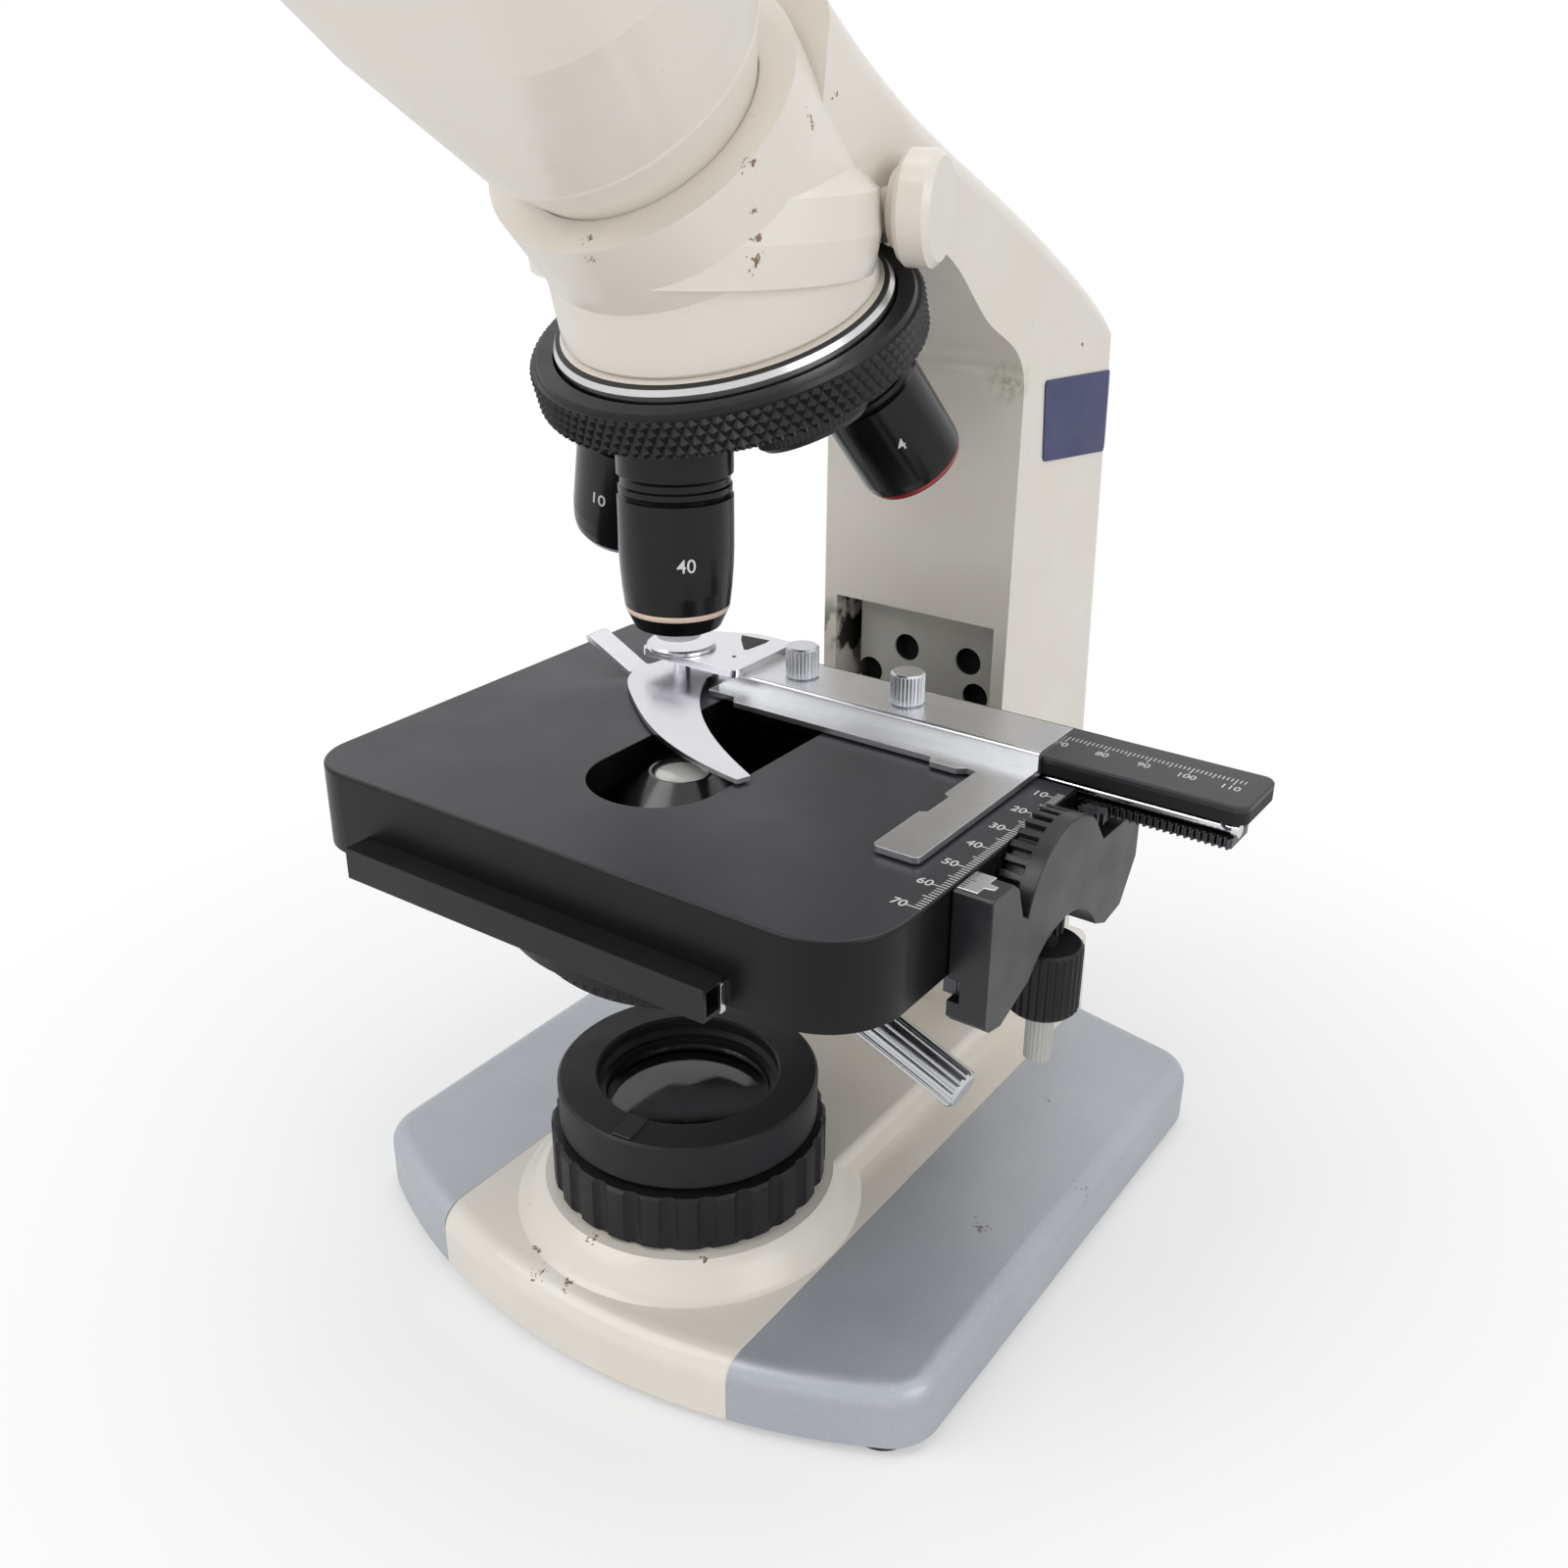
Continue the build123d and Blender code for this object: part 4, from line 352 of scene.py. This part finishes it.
FINISHES = {
    "stand_casting": CREAM, "base_wing_left": SILVER, "base_wing_right": SILVER, "bottom_plate": DARK_STEEL,
    "rubber_feet": RUBBER, "plate_screws": DARK_STEEL, "collector_mirror": CHROME, "halogen_lamp": LENS,
    "lamp_socket": GREY_PLASTIC, "power_board": BOARD, "power_inlet": PLASTIC, "switch_frame": PLASTIC,
    "rocker_switch": BLACK, "dimmer_wheel": PLASTIC, "collector_housing": SATIN_BLACK, "field_lens": FIELD_LENS,
    "field_diaphragm_ring": SATIN_BLACK, "head_clamp_knob": CREAM, "focus_guide": OLIVE, "focus_slide": slide_plate(),
    "focus_rack": BRASS, "coarse_knob": SATIN_BLACK, "fine_knob": SATIN_BLACK, "stage_carrier": BLACK,
    "y_rack": DARK_STEEL, "stage_plate": STAGE, "front_rail": BLACK, "drive_bracket": BRACKET, "y_knob": SATIN_BLACK,
    "x_knob": GREY_PLASTIC, "x_idler_front": DARK_STEEL, "x_idler_middle": DARK_STEEL, "x_idler_rear": DARK_STEEL,
    "x_ruler": RULER, "x_rack": DARK_STEEL, "guide_rod": CHROME, "slide_holder": STEEL, "thumb_screws": ALUMINIUM,
    "lever_plate": BRIGHT_STEEL, "finger_pivot": BRIGHT_STEEL, "slide_finger": BRIGHT_STEEL, "condenser_body": BODY_BLACK,
    "condenser_lens": PALE_LIT_LENS, "condenser_ring": SATIN_BLACK, "condenser_lever": ALUMINIUM, "iris_ring": SATIN_BLACK,
    "nosepiece_base": nosepiece_chrome(), "revolving_turret": BLACK, "objective_high": HIGH_BARREL, "objective_middle": MIDDLE_BARREL,
    "objective_low": LOW_BARREL, "port_plugs": PLASTIC, "head_housing": CREAM, "eyetube_left": CREAM,
    "eyetube_right": CREAM, "eyepiece_left": BLACK, "eyepiece_right": BLACK, "eyecup_left": RUBBER,
    "eyecup_right": RUBBER, "diopter_ring": SATIN_BLACK,
}

for name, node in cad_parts.items():
    node.data.materials.clear()
    node.data.materials.append(FINISHES[name])


def piece(name, shape, finish, body):
    """Makes an object of a bmesh drawn in millimetres and puts it on a body."""
    bmesh.ops.scale(shape, vec=(MM, MM, MM), verts=shape.verts)
    bmesh.ops.recalc_face_normals(shape, faces=shape.faces)
    mesh = bpy.data.meshes.new(name)
    shape.to_mesh(mesh)
    shape.free()
    item = bpy.data.objects.new(name, mesh)
    bpy.context.collection.objects.link(item)
    mesh.materials.append(finish)
    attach(item, body)
    return item


def slab(shape, outline, low, high, place=Matrix()):
    """Adds a prism over an outline of (x, y) points."""
    bottom = [shape.verts.new(place @ Vector((x, y, low))) for x, y in outline]
    top = [shape.verts.new(place @ Vector((x, y, high))) for x, y in outline]
    shape.faces.new(bottom[::-1])
    shape.faces.new(top)
    for index, vertex in enumerate(bottom):
        after = (index + 1) % len(outline)
        shape.faces.new((vertex, bottom[after], top[after], top[index]))


def box(shape, left, right, front, back, low, high, place=Matrix()):
    slab(shape, [(left, front), (right, front), (right, back), (left, back)], low, high, place)


def ring_of(radius, count=48, start=0.0):
    return [
        (radius * math.cos(start + index * math.tau / count), radius * math.sin(start + index * math.tau / count))
        for index in range(count)
    ]


def lathe(shape, outline, place, count=48):
    """Turns an outline of (radius, height) points round the z axis of a place."""
    rows = [[shape.verts.new(place @ Vector((x, y, height))) for x, y in ring_of(radius, count)] for radius, height in outline]
    for lower, upper in zip(rows, rows[1:]):
        for index in range(count):
            after = (index + 1) % count
            shape.faces.new((lower[index], lower[after], upper[after], upper[index]))
    shape.faces.new(rows[0][::-1])
    shape.faces.new(rows[-1])


def frame_at(origin, direction, across):
    """Place whose z runs along a direction and whose x is nearest to another."""
    z = Vector(direction).normalized()
    y = z.cross(Vector(across)).normalized()
    matrix = Matrix((y.cross(z), y, z)).transposed().to_4x4()
    matrix.translation = Vector(origin)
    return matrix


def letters(shape, words, height, place, radius=None):
    """Adds raised figures, wrapped round a barrel where a radius is given."""
    font = bpy.data.curves.new("figures", "FONT")
    font.body = words
    font.size = height * 1.4
    font.align_x = "CENTER"
    font.align_y = "CENTER"
    font.extrude = 0.03
    font.offset = 0.02
    holder = bpy.data.objects.new("figures", font)
    flat = bpy.data.meshes.new_from_object(holder)
    first = len(shape.verts)
    shape.from_mesh(flat)
    shape.verts.ensure_lookup_table()
    for vertex in shape.verts[first:]:
        x, y, z = vertex.co
        if radius:
            vertex.co = ((radius + z) * math.sin(x / radius), -(radius + z) * math.cos(x / radius), y)
        vertex.co = place @ vertex.co
    bpy.data.objects.remove(holder)
    bpy.data.curves.remove(font)
    bpy.data.meshes.remove(flat)


def skin(node):
    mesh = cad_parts[node].data
    return BVHTree.FromPolygons([v.co[:] for v in mesh.vertices], [p.vertices[:] for p in mesh.polygons])


def above(tree, x, y):
    """Height in mm of the topmost face at a place."""
    return tree.ray_cast(Vector((x * MM, y * MM, 0.5)), Vector((0, 0, -1)))[0].z / MM


def stage_scale():
    """Front to back scale on the right edge of the stage, a line each millimetre."""
    marks = bmesh.new()
    top = 142.4
    right = 80.6
    first = -28
    for step in range(63):
        long = 3.4 if step % 10 == 0 else 2.6 if step % 5 == 0 else 1.8
        y = first + step
        box(marks, right - long, right, y - 0.13, y + 0.13, top - 0.05, top + 0.05)
    for index in range(7):
        place = Matrix.Translation((75.6, first + index * 10, top + 0.02))
        letters(marks, str(70 - index * 10), 2.5, place)
    piece("stage_scale", marks, MARKS, "stage")


def ruler_scale():
    """Left to right scale along the rear of the ruler."""
    marks = bmesh.new()
    top = 147.4
    for step in range(83):
        x = 32 + step
        long = 3.2 if step % 10 == 0 else 2.5 if step % 5 == 0 else 1.7
        box(marks, x - 0.13, x + 0.13, 54.2 - long, 54.2, top - 0.05, top + 0.05)
    for index in range(9):
        letters(marks, str(30 + index * 10), 2.2, Matrix.Translation((32 + index * 10, 49.2, top + 0.02)))
    piece("ruler_scale", marks, MARKS, "carriage")


def vernier():
    """Silver index plate with its lines on the front block of the bracket."""
    low = above(skin("drive_bracket"), 84.5, -12)
    plate = bmesh.new()
    outline = [(81.8, -16.2), (86.4, -16.2), (86.4, -13.6), (88.6, -13.2), (88.6, -11.6), (86.4, -11.2), (86.4, -8.2), (81.8, -8.2)]
    slab(plate, outline, low - 0.1, low + 0.3)
    item = piece("vernier_plate", plate, ALUMINIUM, "stage")
    edge = item.modifiers.new("edge", "BEVEL")
    edge.width = 0.0001
    lines = bmesh.new()
    for index in range(9):
        long = 2.0 if index == 4 else 1.2
        y = -15.8 + index * 0.9
        box(lines, 81.9, 81.9 + long, y - 0.09, y + 0.09, low + 0.2, low + 0.34)
    piece("vernier_lines", lines, INK, "stage")


def label():
    """Bare label plate, bent round the arm's rear edge."""
    tree = skin("stand_casting")
    front_low, front_high = (116.7, 193.5), (114.7, 214.8)
    back_low, back_high = (155.2, 189.3), (155.2, 211.8)
    columns, rows = 60, 16
    corner = 1.2
    plate = bmesh.new()
    layers = []
    for lift in (-0.15, 0.4):
        layer = []
        for column in range(columns + 1):
            share = column / columns
            # Rounds the corners by drawing the end columns in
            inset = corner * (1 - min(1.0, min(share, 1 - share) * 40 / corner)) ** 2 / 22
            for row in range(rows + 1):
                part = inset + (1 - 2 * inset) * row / rows
                low = [a + (b - a) * share for a, b in zip(front_low, back_low)]
                high = [a + (b - a) * share for a, b in zip(front_high, back_high)]
                y, z = (a + (b - a) * part for a, b in zip(low, high))
                spot, normal, *_ = tree.ray_cast(Vector((0.1, y * MM, z * MM)), Vector((-1, 0, 0)))
                layer.append(plate.verts.new(spot / MM + normal * lift))
        layers.append(layer)
    inner, outer = layers
    wide = rows + 1
    for column in range(columns):
        for row in range(rows):
            a = column * wide + row
            plate.faces.new((outer[a], outer[a + 1], outer[a + wide + 1], outer[a + wide]))
            plate.faces.new((inner[a], inner[a + wide], inner[a + wide + 1], inner[a + 1]))
    rim = [row for row in range(rows)] + [column * wide + rows for column in range(columns)]
    rim += [columns * wide + row for row in range(rows, 0, -1)] + [column * wide for column in range(columns, 0, -1)]
    for a, b in zip(rim, rim[1:] + rim[:1]):
        plate.faces.new((inner[a], inner[b], outer[b], outer[a]))
    piece("arm_label", plate, LABEL, "stand")


def knurl():
    """Sleeve of staggered pyramids round the nosepiece's ring."""
    place = frame_at((0, 20.8, 230.8), (0, -math.sin(math.radians(20)), math.cos(math.radians(20))), (1, 0, 0))
    around = 104
    rows = 4
    low, high = 0.5, 8.5
    valley, peak = 42.36, 43.25
    pitch = (high - low) / rows
    sleeve = bmesh.new()
    points = {}

    def point(turn, level, radius):
        """Shared vertex at half steps round the ring and half rows up it."""
        key = (turn % (2 * around), level, radius)
        if key not in points:
            angle = turn * math.pi / around
            where = Vector((radius * math.cos(angle), radius * math.sin(angle), low + (level + 0.5) * pitch))
            points[key] = sleeve.verts.new(place @ where)
        return points[key]

    for row in range(-1, rows + 1):
        for step in range(around):
            turn = 2 * step + row % 2
            tip = point(turn, row, peak)
            corners = [
                point(turn + 1, row, valley), point(turn, row + 1, valley),
                point(turn - 1, row, valley), point(turn, row - 1, valley),
            ]
            for index, corner in enumerate(corners):
                sleeve.faces.new((tip, corner, corners[(index + 1) % 4]))
    axis = place.to_3x3() @ Vector((0, 0, 1))
    for level, side in ((low, -1), (high, 1)):
        everything = sleeve.verts[:] + sleeve.edges[:] + sleeve.faces[:]
        bmesh.ops.bisect_plane(
            sleeve, geom=everything, plane_co=place @ Vector((0, 0, level)), plane_no=axis * side, clear_outer=True
        )
    # Closes the sleeve with a rim at each end, drawn in to a radius of 41.2 mm
    rims = [edge for edge in sleeve.edges if edge.is_boundary]
    inner = bmesh.ops.extrude_edge_only(sleeve, edges=rims)["geom"]
    back = place.inverted()
    for vertex in [part for part in inner if isinstance(part, bmesh.types.BMVert)]:
        local = back @ vertex.co
        flat = Vector((local.x, local.y, 0)).normalized() * 41.2
        vertex.co = place @ Vector((flat.x, flat.y, local.z))
    piece("turret_knurl", sleeve, KNURL, "turret")


def field_bezel():
    """Flat top ring round the field lens, with a raised mark at its front."""
    bezel = bmesh.new()
    top = 56.85
    outer, hole = 33.0, 22.9
    steps = 96
    outline = [
        (outer - 0.4, 53.0), (outer, 53.2), (outer, top - 0.7), (outer - 0.7, top),
        (hole + 0.5, top), (hole, top - 0.5), (hole, 53.6), (hole + 1.2, 52.8),
    ]
    rows = [[bezel.verts.new((x, y, height)) for x, y in ring_of(radius, steps)] for radius, height in outline]
    for row, following in zip(rows, rows[1:] + rows[:1]):
        for index in range(steps):
            after = (index + 1) % steps
            bezel.faces.new((row[index], row[after], following[after], following[index]))
    piece("field_bezel", bezel, SATIN_BLACK, "stand")
    mark = bmesh.new()
    turned = Matrix.Rotation(math.radians(8), 4, "Z")
    slab(mark, [(-2.6, -31.8), (2.6, -31.8), (2.6, -23.1), (-2.6, -23.1)], top - 0.2, top + 0.35, turned)
    item = piece("field_bezel_mark", mark, PLASTIC, "stand")
    edge = item.modifiers.new("edge", "BEVEL")
    edge.width = 0.0002


def small_parts():
    end = bmesh.new()
    seat = frame_at((115.2, 41.4, 143.1), (0, -1, 0), (1, 0, 0))
    lathe(end, [(1.9, -3.2), (1.9, 0.0), (1.7, 0.2), (1.25, 0.2), (1.2, -0.5), (0.5, -0.6)], seat)
    piece("ruler_end_screw", end, DARK_STEEL, "carriage")
    # Painted highlight: a bright aluminium sliver at the front rail's right end, for the light on the rail's inner face
    strip = bmesh.new()
    sideways = Matrix.Rotation(math.radians(90), 4, "Z") @ Matrix.Rotation(math.radians(90), 4, "X")
    slab(strip, [(-51.65, 121.0), (-53.1, 121.0), (-53.1, 127.2), (-52.6, 127.7), (-51.65, 127.7)], 50.4, 51.5, sideways)
    piece("rail_end_painted_highlight", strip, ALUMINIUM, "stage")
    top = above(skin("lever_plate"), -20, 50)
    slot = bmesh.new()
    slab(slot, [(-25.2, 57.6), (-23.2, 54.6), (-18.4, 49.2), (-17.4, 49.4), (-16.6, 56.4), (-16.9, 58.6)], top - 0.1, top + 0.04)
    slab(slot, [(x - 17.2, y + 43.5) for x, y in ring_of(0.6, 20)], top - 0.1, top + 0.04)
    piece("lever_plate_slot", slot, INK, "carriage")
    figures = bmesh.new()
    for (origin, direction), words, depth, turn in (
        (PORT_HIGH, "40", 31.0, 48), (PORT_MIDDLE, "10", 31.0, 4), (PORT_LOW, "4", 29.0, 48),
    ):
        down = frame_at(origin, [-value for value in direction], (1, 0, 0))
        place = down @ Matrix.Rotation(math.radians(turn), 4, "Z") @ Matrix.Translation((0, 0, -depth))
        letters(figures, words, 3.0, place, 12.72)
    piece("objective_figures", figures, MARKS, "turret")


def floor():
    """A pale floor that keeps the shadow near the part and fades into the white backdrop."""
    bpy.ops.mesh.primitive_plane_add(size=12, location=(0, 0, 0))
    plane = bpy.context.object
    plane.name = "studio_floor"
    paper = Surface("studio_paper", (0.86, 0.86, 0.86, 1), 0.9)
    shade = paper.shader.outputs[0]
    glow = paper.add("ShaderNodeEmission")
    glow.inputs["Color"].default_value = (1, 1, 1, 1)
    apart = paper.add("ShaderNodeVectorMath", operation="DISTANCE")
    paper.link(paper.where, apart.inputs[0])
    apart.inputs[1].default_value = (0, 0.05, 0)
    share = paper.ramp(apart.outputs["Value"], 0.12, 0.3, 0.4, 1.0)
    path = paper.add("ShaderNodeLightPath")
    seen = paper.math("MULTIPLY", path.outputs["Is Glossy Ray"], 0.45)
    seen = paper.math("MAXIMUM", path.outputs["Is Camera Ray"], seen)
    seen = paper.math("MAXIMUM", seen, path.outputs["Is Transmission Ray"])
    blend = paper.add("ShaderNodeMixShader")
    paper.link(paper.math("MULTIPLY", share, seen), blend.inputs[0])
    paper.link(shade, blend.inputs[1])
    paper.link(glow.outputs[0], blend.inputs[2])
    output = next(item for item in paper.tree.nodes if item.type == "OUTPUT_MATERIAL")
    paper.link(blend.outputs[0], output.inputs[0])
    plane.data.materials.append(paper.material)


def studio():
    world = bpy.data.worlds.new("studio")
    bpy.context.scene.world = world
    world.use_nodes = True
    tree = world.node_tree
    tree.nodes.clear()
    output = tree.nodes.new("ShaderNodeOutputWorld")
    light = tree.nodes.new("ShaderNodeBackground")
    light.inputs[0].default_value = (0.97, 0.985, 1, 1)
    light.inputs[1].default_value = 0.5
    white = tree.nodes.new("ShaderNodeBackground")
    white.inputs[0].default_value = (1, 1, 1, 1)
    white.inputs[1].default_value = 1.0
    path = tree.nodes.new("ShaderNodeLightPath")
    most = tree.nodes.new("ShaderNodeMath")
    most.operation = "MAXIMUM"
    tree.links.new(path.outputs["Is Camera Ray"], most.inputs[0])
    tree.links.new(path.outputs["Is Transmission Ray"], most.inputs[1])
    every = tree.nodes.new("ShaderNodeMath")
    every.operation = "MAXIMUM"
    tree.links.new(most.outputs[0], every.inputs[0])
    tree.links.new(path.outputs["Is Glossy Ray"], every.inputs[1])
    blend = tree.nodes.new("ShaderNodeMixShader")
    tree.links.new(every.outputs[0], blend.inputs[0])
    tree.links.new(light.outputs[0], blend.inputs[1])
    tree.links.new(white.outputs[0], blend.inputs[2])
    tree.links.new(blend.outputs[0], output.inputs[0])
    lamps = [
        ("key", (-0.55, -0.75, 1.15), (0.9, 0.9), 7.4),
        ("side", (1.15, -0.1, 0.75), (0.7, 0.7), 4.0),
        ("top", (0.1, 0.35, 1.4), (1.0, 1.0), 5.0),
        ("fill", (0.25, -1.1, 0.35), (0.9, 0.5), 2.0),
    ]
    for name, place, size, power in lamps:
        lamp = bpy.data.lights.new(name, "AREA")
        lamp.shape = "RECTANGLE"
        lamp.size, lamp.size_y = size
        lamp.energy = power
        item = bpy.data.objects.new(name, lamp)
        item.visible_glossy = name != "fill"
        bpy.context.collection.objects.link(item)
        item.location = place
        aim = Vector((0, 0.04, 0.14)) - Vector(place)
        item.rotation_mode = "QUATERNION"
        item.rotation_quaternion = aim.to_track_quat("-Z", "Y")


def camera():
    lens = bpy.data.cameras.new("camera")
    lens.sensor_width = 36
    lens.lens = 36.156
    lens.clip_start = 0.01
    item = bpy.data.objects.new("camera", lens)
    bpy.context.collection.objects.link(item)
    around, above, roll = (math.radians(angle) for angle in (34.89, 24.99, 0.46))
    forward = Vector((-math.sin(around) * math.cos(above), math.cos(around) * math.cos(above), -math.sin(above)))
    right = Vector((math.cos(around), math.sin(around), 0))
    up = right.cross(forward)
    turned = right * math.cos(roll) + up * math.sin(roll)
    up = up * math.cos(roll) - right * math.sin(roll)
    matrix = Matrix((turned, up, -forward)).transposed().to_4x4()
    matrix.translation = Vector((0.2092, -0.2585, 0.2910))
    item.matrix_world = matrix
    bpy.context.scene.camera = item


stage_scale()
ruler_scale()
vernier()
label()
knurl()
field_bezel()
small_parts()
floor()
studio()
camera()
bpy.context.scene.view_settings.view_transform = "Standard"
